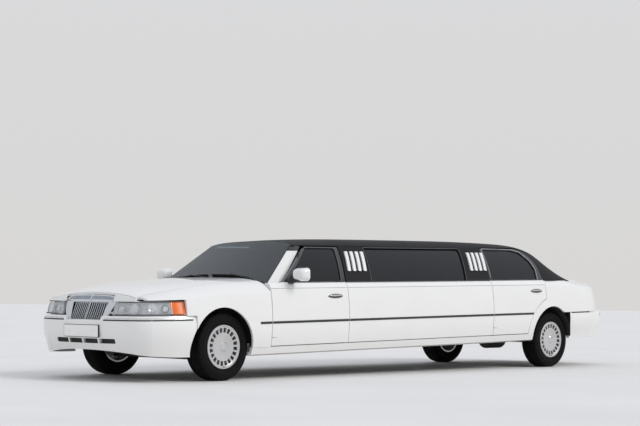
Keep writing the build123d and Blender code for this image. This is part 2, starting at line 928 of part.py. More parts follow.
# Headlamps follow the nose from the grille to the fender side, with amber ends
headlamp_levels = ((lamp_low_z, 26), (lamp_top_z, 62))
with BuildPart() as headlamps:
    add(band_solid(nose_band, headlamp_levels, lamp_wall).part)
    add(plan_window((amber_x, side_reach), (lamp_start_y, side_reach)).part, mode=Mode.INTERSECT)
    mirror(about=Plane.XZ)

with BuildPart() as corner_lamps:
    add(band_solid(nose_band, headlamp_levels, lamp_wall).part)
    add(plan_window((lamp_end_x, amber_x - lamp_gap), (lamp_start_y, side_reach)).part, mode=Mode.INTERSECT)
    mirror(about=Plane.XZ)

# Trunk lid plan, half widths from its front to its tail, shared with the quarter panels' edges
trunk_hinge = (rear_x - 620, 0, 938)
lid_front_x = trunk_hinge[0] + 46
lid_edge = (
    (lid_front_x, wide_y - 222),
    (rear_x - 670, wide_y - 245),
    (rear_x - 890, wide_y - 269),
    (rear_x - 1110, wide_y - 317),
)
lid_edge_z = (942, 937, 926, 878)

# Quarter panels: x, low, wide and shoulder y from the widest line, shoulder z, edge y, edge z
quarter_front_x = rear_door_end_x - shut_gap
quarter_end_x = rear_x - 1090
rear_wheel_gap_x = rear_x - 340
rear_bumper_top_z = 566
lid_corner_gap = 20
edge_gaps = (lid_corner_gap, shut_gap, shut_gap, shut_gap)
lid_gaps = [(x, y - wide_y + gap, z) for (x, y), gap, z in zip(lid_edge, edge_gaps, lid_edge_z)]
quarter_stations = (
    (rear_x + 545, -23, 0, -21, shoulder_z, belt_y - wide_y, belt_z),
    (rear_x + 185, -23, 0, -21, shoulder_z + 2, belt_y - wide_y, belt_z - 4),
    (rear_x - 170, -23, -2, -27, 886, -85, belt_z - 6),
    (rear_x - 574, -35, -19, -47, 880, lid_gaps[0][1], lid_gaps[0][2]),
    (rear_x - 670, -43, -27, -56, 877, lid_gaps[1][1], lid_gaps[1][2]),
    (rear_x - 890, -80, -63, -95, 864, lid_gaps[2][1], lid_gaps[2][2]),
    (rear_x - 1110, -165, -162, -295, 846, lid_gaps[3][1], lid_gaps[3][2]),
)
with BuildPart() as quarter_panels:
    for x, low, wide, shoulder, shoulder_height, edge, edge_height in quarter_stations:
        with BuildSketch(across(x)):
            with BuildLine():
                flank_wall_lines(
                    (wide_y + low, sill_top_z),
                    (wide_y + wide, wide_z),
                    (wide_y + shoulder, shoulder_height),
                    (wide_y + edge, edge_height),
                    panel_wall,
                    6,
                )
            make_face()
    loft()
    with BuildSketch(side(0)):
        with Locations((rear_arch_x, rear_arch_z)):
            Circle(rear_arch_radius)
        with BuildLine():
            Polyline(
                (rear_arch_x - 200, 200),
                (rear_arch_x - 200, rear_bumper_top_z + skin_clearance),
                (tail_x, rear_bumper_top_z + skin_clearance),
                (tail_x, 200),
                close=True,
            )
        make_face()
        with BuildLine():
            Polyline((quarter_end_x, 300), (quarter_end_x, 1100), (tail_x, 1100), (tail_x, 300), close=True)
        make_face()
    extrude(amount=-side_reach, mode=Mode.SUBTRACT)
    with BuildSketch(side(0)):
        with BuildLine():
            Polyline(
                (quarter_front_x, 1100),
                (quarter_front_x, rear_arch_z),
                (shell_x + 90, rear_arch_z),
                (shell_x + 90, 1100),
                close=True,
            )
        make_face()
        with Locations((rear_arch_x, rear_arch_z)):
            Circle(door_arc_radius - shut_gap, mode=Mode.SUBTRACT)
    extrude(amount=-side_reach, mode=Mode.SUBTRACT)
    mirror(about=Plane.XZ)


# Plan of the tail, from the left end round to the right, moved in by a distance
def tail_points(inset):
    return (
        (rear_wheel_gap_x, wide_y - 19 - inset),
        (rear_x - 750, wide_y - 47 - inset),
        (rear_x - 1110 + inset * 0.4, wide_y - 123 - inset * 0.9),
        (rear_x - 1260 + inset * 0.8, wide_y - 217 - inset * 0.6),
        (rear_x - 1332 + inset, wide_y - 345 - inset * 0.4),
        (tail_x + inset, 0),
    )


def tail_lines(inset):
    left = tail_points(inset)
    right = [(x, -y) for x, y in left]
    ThreePointArc(left[0], left[1], left[2])
    ThreePointArc(left[2], left[3], left[4])
    ThreePointArc(left[4], left[5], right[4])
    ThreePointArc(right[4], right[3], right[2])
    ThreePointArc(right[2], right[1], right[0])


def tail_band(inset, wall):
    outer = tail_points(inset)[0]
    inner = tail_points(inset + wall)[0]
    tail_lines(inset)
    tail_lines(inset + wall)
    Line(outer, inner)
    Line((outer[0], -outer[1]), (inner[0], -inner[1]))


# Rear bumper, with a ledge inside its top edge for the tail lamps
ledge_width = 110
ledge_wall = 10
rear_bumper_levels = ((sill_z + 10, 46), (400, 12), (510, 0), (rear_bumper_top_z, 18))
ledge_levels = ((rear_bumper_top_z - ledge_wall, 19), (rear_bumper_top_z, 19))
wheel_room = 26
with BuildPart() as rear_bumper:
    for z, inset in rear_bumper_levels:
        with BuildSketch(level(z)):
            with BuildLine():
                tail_band(inset, bumper_wall)
            make_face()
    loft()
    add(band_solid(tail_band, ledge_levels, ledge_width).part)
    with BuildSketch(side(0)):
        with Locations((rear_arch_x, rear_arch_z)):
            Circle(rear_arch_radius)
    extrude(amount=side_reach, both=True, mode=Mode.SUBTRACT)
    with BuildSketch(wheel_plane(rear_x, 0)):
        Circle(tyre_radius + wheel_room)
    extrude(amount=side_reach, both=True, mode=Mode.SUBTRACT)

# Tail lamps fill the corners between the quarter panels and the trunk lid
lamp_inner_y = wide_y - 385
tail_lamp_levels = (
    (rear_bumper_top_z + skin_clearance, 62),
    (640, 84),
    (735, 108),
    (808, 138),
    (834, 155),
)
with BuildPart() as tail_lamps:
    add(band_solid(tail_band, tail_lamp_levels, lamp_wall).part)
    add(
        plan_window((tail_x, quarter_end_x - skin_clearance), (lamp_inner_y, side_reach)).part,
        mode=Mode.INTERSECT,
    )
    mirror(about=Plane.XZ)

# Trunk lid: y, then the drop of the top and the advance of the tail face from the middle
lid_wall = 26
lamp_cut_z = 846
lid_stations = (
    (-790, 66, 121),
    (-690, 46, 90),
    (-420, 14, 33),
    (0, 0, 0),
    (420, 14, 33),
    (690, 46, 90),
    (790, 66, 121),
)
lid_foot_z = rear_bumper_top_z + 10


def lid_section(drop, advance):
    lip_x = rear_x - 1235 + advance
    tail_face_x = rear_x - 1276 + advance
    foot_x = rear_x - 1342 + advance
    deck_end = (rear_x - 1120 + advance, 918 - drop)
    deck = ThreePointArc((lid_front_x, 972 - drop * 0.3), (rear_x - 870, 958 - drop * 0.6), deck_end)
    lip = ThreePointArc(deck @ 1, (lip_x, 868 - drop * 0.7), (tail_face_x, 800 - drop * 0.5))
    face = Polyline(
        lip @ 1,
        (foot_x, lid_foot_z),
        (foot_x + lid_wall, lid_foot_z),
        (tail_face_x + lid_wall, 792 - drop * 0.5),
    )
    inner_lip = ThreePointArc(
        face @ 1,
        (lip_x + lid_wall * 0.7, 868 - drop * 0.7 - lid_wall * 0.7),
        (deck_end[0], deck_end[1] - lid_wall),
    )
    under = ThreePointArc(
        inner_lip @ 1,
        (rear_x - 870, 958 - drop * 0.6 - lid_wall),
        (lid_front_x, 972 - drop * 0.3 - lid_wall),
    )
    Line(under @ 1, deck @ 0)


with BuildPart() as trunk_lid:
    for y, drop, advance in lid_stations:
        with BuildSketch(side(y)):
            with BuildLine():
                lid_section(drop, advance)
            make_face()
    loft()
    with BuildSketch(level(sill_z)):
        with BuildLine():
            edge = Spline(*lid_edge)
            Polyline(edge @ 1, (tail_x, lid_edge[3][1]), (tail_x, 0), (lid_front_x, 0), edge @ 0)
        make_face()
        mirror(about=Plane.XZ)
    extrude(amount=cut_top_z - sill_z, mode=Mode.INTERSECT)
    with BuildSketch(across(rear_x - 1060)):
        with Locations(*[(hand * (lamp_inner_y - shut_gap + 150), lamp_cut_z - 150) for hand in (-1, 1)]):
            Rectangle(300, 300)
    extrude(amount=-400, mode=Mode.SUBTRACT)

# Gutters on the quarter panels, under the edges of the trunk lid: x, edge y, height
gutter_width = 36
gutter_room = 6
gutter_drop = 3
gutter_wall = 12
gutter_stations = (
    (rear_x - 640, lid_edge[1][1] + 14, 915),
    (rear_x - 890, lid_edge[2][1], 896),
    (rear_x - 1030, lid_edge[3][1] + 26, 870),
)
with BuildPart() as gutters:
    for x, edge_y, z in gutter_stations:
        with BuildSketch(across(x)):
            with BuildLine():
                Polyline(
                    (edge_y - gutter_width, z - gutter_wall),
                    (edge_y + 15, z - gutter_wall),
                    (edge_y + 15, z + gutter_wall),
                    (edge_y + 7, z + gutter_wall),
                    (edge_y + 7, z),
                    (edge_y - gutter_width, z),
                    close=True,
                )
            make_face()
    loft()
    mirror(about=Plane.XZ)
with BuildPart() as quarters_with_gutters:
    add(quarter_panels.part)
    add(gutters.part)
    for y in (-gutter_room, 0, gutter_room):
        for drop in (0, gutter_drop):
            add(trunk_lid.part.moved(Location((0, y, -drop))), mode=Mode.SUBTRACT)

# Ladder frame: side view of its rails' undersides
rail_half_gap = 400
rail_width = 62
frame_path = (
    (985, 395),
    (330, 395),
    (-420, 262),
    (rear_x + 520, 262),
    (rear_x + 280, 372),
    (rear_x - 370, 372),
    (rear_x - 620, 330),
    (rear_x - 1344, 330),
)
frame_depth = 92
cross_depth = 26
cross_length = 90
tie_holes = (600, rear_x - 990)  # upright tie-down holes in both rails
tie_radius = 16
cross_x = (760, -620, -1900, -3200, rear_x + 1030, rear_x + 230, rear_x - 430, rear_x - 1070)


def frame_z(x):
    for (x0, z0), (x1, z1) in zip(frame_path, frame_path[1:]):
        if x1 <= x <= x0:
            return z0 + (z1 - z0) * (x0 - x) / (x0 - x1)


with BuildPart() as frame_rails:
    with BuildSketch(side(rail_half_gap + rail_width)):
        with BuildLine():
            Polyline(*frame_path, *[(x, z + frame_depth) for x, z in reversed(frame_path)], close=True)
        make_face()
    extrude(amount=rail_width)
    with BuildSketch(level(sill_z)):
        with Locations(*[(x, rail_half_gap + rail_width / 2) for x in tie_holes]):
            Circle(tie_radius)
    extrude(amount=400, mode=Mode.SUBTRACT)
    add(front_bumper.part.moved(Location(body_x * -skin_clearance)), mode=Mode.SUBTRACT)
    add(rear_bumper.part.moved(Location(body_x * skin_clearance)), mode=Mode.SUBTRACT)
    mirror(about=Plane.XZ)

with BuildPart() as frame_crossmembers:
    for x in cross_x:
        with BuildSketch(across(x)):
            with Locations((0, frame_z(x - cross_length) + frame_depth - cross_depth / 2)):
                Rectangle(2 * rail_half_gap, cross_depth)
        extrude(amount=-cross_length)

# Floor pan, with a foot space at its front and a raised tail over the axle
floor_wall = 10
floor_front_x = -560
floor_back_x = rear_x + 520
front_ledge = 30
kick_z = 560
kick_foot = (rear_x - 428, 460)
foot_z = 470
door_swing = 28  # room for the doors' inner corners
wheel_house_y = wide_y - 375
with BuildPart() as floor_pan:
    with BuildSketch(side(door_inner_y)):
        with BuildLine():
            Polyline(
                (floor_front_x, foot_z),
                (floor_front_x - front_ledge, foot_z),
                (floor_front_x - 190, floor_z),
                (floor_back_x, floor_z),
                (floor_back_x - 60, kick_z),
                (rear_x - 330, kick_z),
                (kick_foot[0] + 8, kick_foot[1]),
                kick_foot,
                (kick_foot[0], kick_foot[1] + floor_wall),
                (rear_x - 338, kick_z + floor_wall),
                (floor_back_x - 50, kick_z + floor_wall),
                (floor_back_x + 10, floor_z + floor_wall),
                (floor_front_x - 196, floor_z + floor_wall),
                (floor_front_x - front_ledge - 6, foot_z + floor_wall),
                (floor_front_x, foot_z + floor_wall),
                close=True,
            )
        make_face()
    extrude(amount=2 * door_inner_y)
    with BuildSketch(level(sill_z)):
        for start, end, half in (
            (floor_front_x + 10, front_door_end_x, door_inner_y - door_swing),
            (rear_door_x, floor_back_x - 5, door_inner_y - door_swing),
            (floor_back_x - 5, tail_x, wheel_house_y),
        ):
            with Locations(((start + end) / 2, half + 150), ((start + end) / 2, -half - 150)):
                Rectangle(start - end, 300)
    extrude(amount=kick_z, mode=Mode.SUBTRACT)

# Trunk floor, from the foot of the raised tail to the bumper
trunk_floor_z = 422
with BuildPart() as trunk_floor:
    with BuildSketch(side(wheel_house_y)):
        with BuildLine():
            Polyline(
                kick_foot,
                (rear_x - 620, trunk_floor_z),
                (rear_x - 1270, trunk_floor_z),
                (rear_x - 1270, trunk_floor_z + floor_wall),
                (rear_x - 620, trunk_floor_z + floor_wall),
                (kick_foot[0], kick_foot[1] + floor_wall),
                close=True,
            )
        make_face()
    extrude(amount=2 * wheel_house_y)

# Posts behind the front fenders and at the rear doors, with the arms and pins of the door hinges
post_inner_y = cowl_edge[0]
post_outer_y = door_inner_y - door_swing
post_foot_z = floor_z + floor_wall
front_post = ((-862, post_foot_z), (-770, post_foot_z), (-640, 480), (-640, belt_z - 6), (-862, belt_z - 6))
rear_post_x = (rear_door_x - 90, rear_door_x - 30)
rear_post_top_z = 900
panel_lap = 40
with BuildPart() as hinge_pillars:
    with BuildSketch(side(post_outer_y)):
        with BuildLine():
            Polyline(*front_post, close=True)
        make_face()
    extrude(amount=post_outer_y - post_inner_y)
    with BuildSketch(level(post_foot_z)):
        with BuildLine():
            Polyline(
                (rear_post_x[0], post_inner_y),
                (rear_post_x[0], post_outer_y),
                (rear_post_x[1], post_outer_y),
                (rear_door_x + shut_gap, post_outer_y),
                (rear_door_x + shut_gap, door_inner_y),
                (rear_door_x + panel_lap, door_inner_y),
                (rear_door_x + panel_lap, post_inner_y),
                close=True,
            )
        make_face()
    extrude(amount=rear_post_top_z - post_foot_z)
    for spot in (front_hinge, rear_hinge):
        for z in hinge_levels:
            with BuildSketch(level(z - arm_height / 2)):
                with Locations((spot[0], (spot[1] + post_outer_y) / 2)):
                    Rectangle(2 * arm_radius, spot[1] - post_outer_y)
                with Locations(spot):
                    Circle(arm_radius)
            extrude(amount=arm_height)
            with BuildSketch(level(z - arm_height / 2 - pin_reach)):
                with Locations(spot):
                    Circle(pin_radius)
            extrude(amount=arm_height + 2 * pin_reach)
    mirror(about=Plane.XZ)

# Bulkhead, with the crowned cowl between the hood and the windscreen, and the arms at the hood's hinge
hood_arm_wall = 12
hood_arm_y = (wide_y - 333, 345 - wide_y)
hood_arm = ((28, -5), (70, -5), (70, -50), (0, -110), (-62, -128), (-62, -110), (-26, -87), (8, -50))
with BuildPart() as cowl_half:
    for x in (cowl_front_x, -800):
        with BuildSketch(across(x)):
            with BuildLine():
                crowned_lines(cowl_z, cowl_knee, cowl_edge, panel_wall, 0, panel_wall)
            make_face()
    loft()

with BuildPart() as bulkhead:
    add(cowl_half.part)
    mirror(about=Plane.XZ)
    with BuildSketch(side(post_inner_y)):
        with BuildLine():
            Polyline(
                (floor_front_x - 2, foot_z + floor_wall),
                (floor_front_x - 2, 880),
                (-640, 955),
                (-640, 972),
                (-660, 972),
                (-660, 940),
                (floor_front_x - 22, 868),
                (floor_front_x - 22, foot_z + floor_wall),
                close=True,
            )
        make_face()
    extrude(amount=2 * post_inner_y)
    for y in hood_arm_y:
        with BuildSketch(side(y)):
            with BuildLine():
                Polyline(*[(hood_hinge[0] + x, hood_hinge[2] + z) for x, z in hood_arm], close=True)
            make_face()
        extrude(amount=hood_arm_wall)
    add(hood.part.moved(Location(body_z * -skin_clearance)), mode=Mode.SUBTRACT)

# Engine as one plain block with its gearbox, on two mounts between the rails
engine_back_x = -270
engine_length = 660
engine_half = 280
engine_height = 520
gearbox_length = 140
gearbox_radius = 140
mount_x = (-160, -100)
with BuildPart() as engine:
    with BuildSketch(across(engine_back_x)):
        with Locations((0, 600)):
            Rectangle(2 * engine_half, engine_height)
    extrude(amount=engine_length)
    with BuildSketch(across(engine_back_x)):
        with Locations((0, 380)):
            Circle(gearbox_radius)
    extrude(amount=-gearbox_length)
    with BuildSketch(across(mount_x[0])):
        with Locations((0, 370)):
            Rectangle(2 * rail_half_gap, 40)
    extrude(amount=mount_x[1] - mount_x[0])

# Shaft from the gearbox to the rear axle, which stays level while the body sits tail up
shaft_start_x = engine_back_x - gearbox_length
shaft_radius = 45
axle_case_radius = 130
axle_case_half = 130
shaft_end_x = rear_x + axle_case_half - 4
with BuildPart() as driveshaft:
    with BuildSketch(across(shaft_start_x)):
        with Locations((0, 279)):
            Circle(shaft_radius)
    extrude(amount=shaft_end_x - shaft_start_x)

# Rear axle with a spring under each rail
spring_radius = 45
spring_y = rail_half_gap + rail_width / 2
spring_top_z = at(rear_x + spring_radius, 0, frame_z(rear_x)).Z - skin_clearance
with BuildPart() as rear_axle:
    with BuildSketch(wheel_plane(rear_x, wheel_y - 100)):
        Circle(44)
    extrude(amount=2 * (wheel_y - 100))
    with BuildSketch(Plane(origin=(front_axle_x + rear_x, 0, tyre_radius), z_dir=(1, 0, 0))):
        Circle(axle_case_radius)
    extrude(amount=axle_case_half, both=True)
    with BuildSketch(Plane(origin=(front_axle_x + rear_x, 0, tyre_radius))):
        with Locations((0, spring_y), (0, -spring_y)):
            Circle(spring_radius)
    extrude(amount=spring_top_z - tyre_radius)

# Front suspension: crossmember with lower and upper arms, level with the wheels
arm_half = 55
arm_wall = 26
knuckle_low_z = 224
knuckle_top_z = 446
cross_half_y = rail_half_gap - 20
low_arm_z = knuckle_low_z - running_clearance
top_arm_z = knuckle_top_z + running_clearance
bracket_z = 380
with BuildPart() as front_suspension:
    with BuildSketch(Plane(origin=(front_axle_x, 0, low_arm_z))):
        Rectangle(2 * arm_half, 2 * (kingpin_y + kingpin_radius))
    extrude(amount=-arm_wall)
    with BuildSketch(Plane(origin=(front_axle_x, 0, low_arm_z))):
        Rectangle(2 * arm_half, 2 * cross_half_y)
    extrude(amount=80)
    with BuildSketch(Plane(origin=(front_axle_x, 0, low_arm_z + 80))):
        with Locations((0, rail_half_gap - 30), (0, 30 - rail_half_gap)):
            Rectangle(2 * arm_half, 60)
    extrude(amount=bracket_z - low_arm_z - 80)
    with BuildSketch(Plane(origin=(front_axle_x, 0, top_arm_z))):
        with Locations((0, kingpin_y - 100), (0, 100 - kingpin_y)):
            Rectangle(2 * arm_half, 200 + 2 * kingpin_radius)
    extrude(amount=arm_wall)
    with BuildSketch(Plane(origin=(front_axle_x, 0, top_arm_z))):
        with Locations((0, rail_half_gap + rail_width + 29), (0, -rail_half_gap - rail_width - 29)):
            Rectangle(2 * arm_half, 58)
    extrude(amount=bracket_z - top_arm_z)

# Radiator support: two uprights on the rails, a shelf, the band behind the lamps and the radiator
support_x = (700, 760)
support_top_z = 648
support_wall = 14
lamp_back = lamp_wall + skin_clearance
support_inset = headlamp_levels[0][1] + lamp_back
support_foot = ((support_top_z - 12, support_inset), (lamp_low_z, support_inset))
support_levels = [(z, inset + lamp_back) for z, inset in headlamp_levels]
radiator_half = 350
with BuildPart() as radiator_support:
    add(band_solid(nose_band, support_foot, support_wall).part)
    add(band_solid(nose_band, support_levels, support_wall).part)
    add(plan_window((lamp_end_x, side_reach), (-side_reach, side_reach)).part, mode=Mode.INTERSECT)
    add(plan_window((support_x[1] + 90, side_reach), (-385, 385)).part, mode=Mode.SUBTRACT)
    with BuildSketch(across(support_x[0])):
        with Locations((0, support_top_z - 6)):
            Rectangle(2 * wide_y - 340, 12)
        with Locations((spring_y, 565), (-spring_y, 565)):
            Rectangle(rail_width, 2 * (565 - frame_path[0][1] - frame_depth))
    extrude(amount=support_x[1] - support_x[0])
    with BuildSketch(across(support_x[0] + 10)):
        with Locations((0, 644)):
            Rectangle(2 * radiator_half, 312)
    extrude(amount=40)

# Knuckles on upright kingpins, with the stub that carries the wheel
stub_length = wheel_y - kingpin_y + 30


def knuckle_at(turn):
    with BuildPart() as knuckle:
        with BuildSketch(Plane(origin=(front_axle_x, turn * kingpin_y, knuckle_low_z))):
            Circle(kingpin_radius)
        extrude(amount=knuckle_top_z - knuckle_low_z)
        with BuildSketch(wheel_plane(0, turn * kingpin_y)):
            Circle(hub_radius)
        extrude(amount=-turn * stub_length)
    return knuckle


# Wheels
def axle_line(x, y):
    return Axis((front_axle_x + x, y, tyre_radius), (0, 1, 0))


def section_plane(x, y, outward):
    # half section through the axle: its own x runs outward along the axle and its y up
    return Plane(
        origin=(front_axle_x + x, y, tyre_radius), x_dir=(0, outward, 0), z_dir=(outward, 0, 0)
    )


def tyre_at(x, y, outward):
    half = tyre_width / 2
    bead = rim_width / 2 - 4
    outer_wall = (
        (bead, rim_radius),
        (bead, rim_radius + 20),
        (half - 4, rim_radius + 44),
        (half, rim_radius + 72),
        (half - 5, tyre_radius - 30),
        (half - 18, tyre_radius - 7),
        (half - 34, tyre_radius),
    )
    with BuildPart() as tyre:
        with BuildSketch(section_plane(x, y, outward)):
            with BuildLine():
                Polyline(*outer_wall, *[(-y, z) for y, z in reversed(outer_wall)], close=True)
            make_face()
        revolve(axis=axle_line(x, y))
    return tyre


cover_face = rim_width / 2 + 8
rim_wall = 12
slot_count = 16
hub_face = stub_length - wheel_y + kingpin_y + 8


def wheel_at(x, y, outward):
    half = rim_width / 2
    rim = rim_radius - skin_clearance
    flange = rim + 16
    with BuildPart() as wheel:
        with BuildSketch(section_plane(x, y, outward)):
            with BuildLine():
                Polyline(
                    (-half, rim - rim_wall),
                    (-half, rim),
                    (half, rim),
                    (half, flange),
                    (cover_face + 2, flange),
                    (cover_face + 6, rim - 8),
                    (cover_face - 2, 150),
                    (cover_face + 8, 62),
                    (cover_face + 10, 0),
                    (hub_face, 0),
                    (hub_face, hub_radius + running_clearance),
                    (-20, hub_radius + running_clearance),
                    (-20, 80),
                    (half - 22, 120),
                    (half - 12, rim - rim_wall),
                    close=True,
                )
            make_face()
        revolve(axis=axle_line(x, y))
        with BuildSketch(wheel_plane(x, y)):
            with PolarLocations(172, slot_count):
                Rectangle(15, 30)
        extrude(amount=-outward * 200, mode=Mode.SUBTRACT)
    return wheel


# Steering wheel on its column, facing back towards the driver
column_tilt = 24
steering_y = 380
steering = Plane(
    origin=at(-1290, steering_y, 812),
    x_dir=body_y,
    z_dir=-body_x * cos(radians(column_tilt)) + body_z * sin(radians(column_tilt)),
)
grip_ring = 185
grip_radius = 14
column_length = 90
column_start = -12
with BuildPart() as steering_wheel:
    grip = Plane(
        origin=steering.origin + steering.x_dir * grip_ring, x_dir=steering.x_dir, z_dir=steering.y_dir
    )
    with BuildSketch(grip):
        RegularPolygon(grip_radius, 10)
    revolve(axis=Axis(steering.origin, steering.z_dir))
    with BuildSketch(steering.offset(column_start)):
        Circle(70)
        Rectangle(2 * grip_ring, 34)
        with Locations((0, -grip_ring / 2)):
            Rectangle(34, grip_ring)
    extrude(amount=18)
    with BuildSketch(steering.offset(column_start)):
        Circle(26)
    extrude(amount=-column_length)

# Dashboard between the hinge posts, with the shroud of the steering column
dash_top_z = 930
dash_face_x = -1060
shroud_radius = 34
with BuildPart() as dashboard:
    with BuildSketch(side(post_inner_y)):
        with BuildLine():
            Polyline(
                (-790, 800),
                (-800, dash_top_z),
                (dash_face_x + 40, dash_top_z + 6),
                (dash_face_x, 880),
                (dash_face_x + 60, 640),
                (-860, 620),
                close=True,
            )
        make_face()
    extrude(amount=2 * post_inner_y)
    with BuildSketch(steering.offset(column_start - column_length - running_clearance)):
        Circle(shroud_radius)
    extrude(amount=-220)

# Seats
seat_z = floor_z + floor_wall
front_seat_y = (380, -380)
seat_half = 265
with BuildPart() as front_seats:
    for seat_y in front_seat_y:
        with BuildSketch(side(seat_y + seat_half)):
            with BuildLine():
                FilletPolyline(
                    (-1480, seat_z),
                    (-1440, 640),
                    (-1960, 610),
                    (-2100, 1150),
                    (-2200, 1150),
                    (-2080, seat_z),
                    radius=40,
                    close=True,
                )
            make_face()
        extrude(amount=2 * seat_half)

# Side seat on the right and the bench ahead of the rear axle
bench_x = rear_x + 1130
bench_half = wide_y - 285
with BuildPart() as lounge_seats:
    with BuildSketch(side(-330)):
        with BuildLine():
            Polyline((-2700, seat_z), (-2700, 680), (bench_x + 250, 680), (bench_x + 250, seat_z), close=True)
        make_face()
    extrude(amount=520)
    with BuildSketch(side(bench_half)):
        with BuildLine():
            Polyline(
                (bench_x, seat_z),
                (bench_x + 20, 700),
                (bench_x - 520, 670),
                (bench_x - 660, 1180),
                (bench_x - 780, 1180),
                (bench_x - 660, seat_z + 240),
                (bench_x - 590, seat_z + 240),
                (bench_x - 590, seat_z),
                close=True,
            )
        make_face()
    extrude(amount=2 * bench_half)

# Exhaust pipe with its silencer under the crossmembers, and the fuel tank under the trunk floor
pipe_radius = 30
pipe_y = -250
pipe_z = frame_path[2][1] + frame_depth - cross_depth - pipe_radius - skin_clearance
pipe_ends = (-700, rear_x + 830)
silencer_x = (-3400, rear_x + 1510)
with BuildPart() as exhaust:
    with BuildSketch(across(pipe_ends[0])):
        with Locations((pipe_y, pipe_z)):
            Circle(pipe_radius)
    extrude(amount=pipe_ends[1] - pipe_ends[0])
    with BuildSketch(across(silencer_x[0])):
        with Locations((pipe_y, 290)):
            Ellipse(110, 60)
    extrude(amount=silencer_x[1] - silencer_x[0])

tank_height = 120
with BuildPart() as fuel_tank:
    with BuildSketch(across(rear_x - 550)):
        with Locations((0, trunk_floor_z - tank_height / 2)):
            RectangleRounded(2 * rail_half_gap - 100, tank_height, 40)
    extrude(amount=-440)


def mirrored(piece):
    with BuildPart() as copy:
        add(piece.part)
        mirror(about=Plane.XZ, mode=Mode.REPLACE)
    return copy


def pair(piece):
    with BuildPart() as both:
        add(piece.part)
        mirror(about=Plane.XZ)
    return both


pieces = {
    "frame_rails": frame_rails,
    "frame_crossmembers": frame_crossmembers,
    "floor_pan": floor_pan,
    "trunk_floor": trunk_floor,
    "bulkhead": bulkhead,
    "hinge_pillars": hinge_pillars,
    "radiator_support": radiator_support,
    "engine": engine,
    "driveshaft": driveshaft,
    "exhaust": exhaust,
    "fuel_tank": fuel_tank,
    "rear_axle": rear_axle,
    "front_suspension": front_suspension,
    "front_fenders": fenders_with_noses,
    "front_bumper": front_bumper,
    "rear_bumper": rear_bumper,
    "grille": grille,
    "headlamps": headlamps,
    "corner_lamps": corner_lamps,
    "tail_lamps": tail_lamps,
    "windshield": windshield,
    "windshield_frame": windshield_frame,
    "roof": roof,
    "rear_window": rear_window,
    "side_panels": side_panels,
    "quarter_panels": quarters_with_gutters,
    "pillar_pads": pillar_pads,
    "pillar_lamps": pillar_lamps,
    "mid_windows": pair(mid_glass_left),
    "dashboard": dashboard,
    "front_seats": front_seats,
    "lounge_seats": lounge_seats,
    "hood": hood,
    "trunk_lid": trunk_lid,
    "steering_wheel": steering_wheel,
}
for name, left in (
    ("front_door", front_door_left),
    ("rear_door", rear_door_left),
    ("front_glass", front_glass_left),
    ("rear_glass", rear_glass_left),
    ("mirror", mirror_left),
):
    pieces[name + "_left"] = left
    pieces[name + "_right"] = mirrored(left)
for hand, outward in (("left", 1), ("right", -1)):
    pieces["knuckle_" + hand] = knuckle_at(outward)
    for end, x in (("front", 0), ("rear", rear_x)):
        pieces[f"{end}_tyre_{hand}"] = tyre_at(x, outward * wheel_y, outward)
        pieces[f"{end}_wheel_{hand}"] = wheel_at(x, outward * wheel_y, outward)

os.makedirs("parts", exist_ok=True)
for label, piece in pieces.items():
    piece.part.label = label
    export_step(piece.part, f"parts/{label}.step")
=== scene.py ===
import json
from math import cos, pi, radians, sin
import bmesh
import bpy
from mathutils import Euler, Matrix, Vector
from mathutils.bvhtree import BVHTree
from mathutils.geometry import convex_hull_2d


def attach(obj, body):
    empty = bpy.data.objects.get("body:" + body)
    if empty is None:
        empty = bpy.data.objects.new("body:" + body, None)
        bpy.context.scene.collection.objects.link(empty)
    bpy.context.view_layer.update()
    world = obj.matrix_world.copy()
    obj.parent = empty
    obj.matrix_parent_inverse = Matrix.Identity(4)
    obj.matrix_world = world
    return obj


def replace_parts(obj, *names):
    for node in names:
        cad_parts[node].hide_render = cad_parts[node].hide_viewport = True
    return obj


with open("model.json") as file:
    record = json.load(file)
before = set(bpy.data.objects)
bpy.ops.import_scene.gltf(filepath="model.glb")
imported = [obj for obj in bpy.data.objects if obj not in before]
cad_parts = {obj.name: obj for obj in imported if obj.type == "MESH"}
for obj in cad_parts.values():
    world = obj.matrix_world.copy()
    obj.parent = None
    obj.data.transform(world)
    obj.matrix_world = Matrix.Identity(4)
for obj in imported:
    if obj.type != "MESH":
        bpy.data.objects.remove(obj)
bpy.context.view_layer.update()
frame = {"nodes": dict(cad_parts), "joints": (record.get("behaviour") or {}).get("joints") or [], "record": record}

# White stretch limousine, metres: +X towards its nose, +Y to its left, +Z up.
# The body sits tail up, so its own directions come from a door hinge. Places on it are counted
# from the front axle, along the body and square to it.
nodes = frame["nodes"]
joints = {joint["name"]: joint for joint in frame["joints"]}
frontAxle = Vector(joints["steer_left"]["pos_m"])
bodyUp = -Vector(joints["front_door_left_hinge"]["axis"]).normalized()
bodyLeft = Vector((0, 1, 0))
bodyFore = bodyLeft.cross(bodyUp)
axleGround = Vector((frontAxle.x, 0, 0))
hands = (("left", 1), ("right", -1))


def at(x, y, z):
    return axleGround + bodyFore * x + bodyLeft * y + bodyUp * z


def along(point):
    # the x and z of a point, counted along the body
    return (point - axleGround).dot(bodyFore), (point - axleGround).dot(bodyUp)


# Materials

# paint: the last value is the strength of a painted reflection of the ground, a brownish tint low on the body
paintLook = {"colour": (0.83, 0.83, 0.82), "roughness": 0.22, "orangePeel": 0.02, "groundReflection": 0.06}
vinylLook = {"colour": (0.007, 0.007, 0.008), "roughness": 0.6, "grain": 260, "depth": 0.25}
glassLook = {"side": (0.012, 0.014, 0.016), "screen": (0.13, 0.19, 0.21), "roughness": 0.015}
chromeLook = {"colour": (0.66, 0.68, 0.70), "roughness": 0.07}
twoToneLook = {"doorTop": 0.967, "pillarTop": 1.293}
trimLook = {"colour": (0.055, 0.052, 0.05), "seat": (0.12, 0.115, 0.11)}


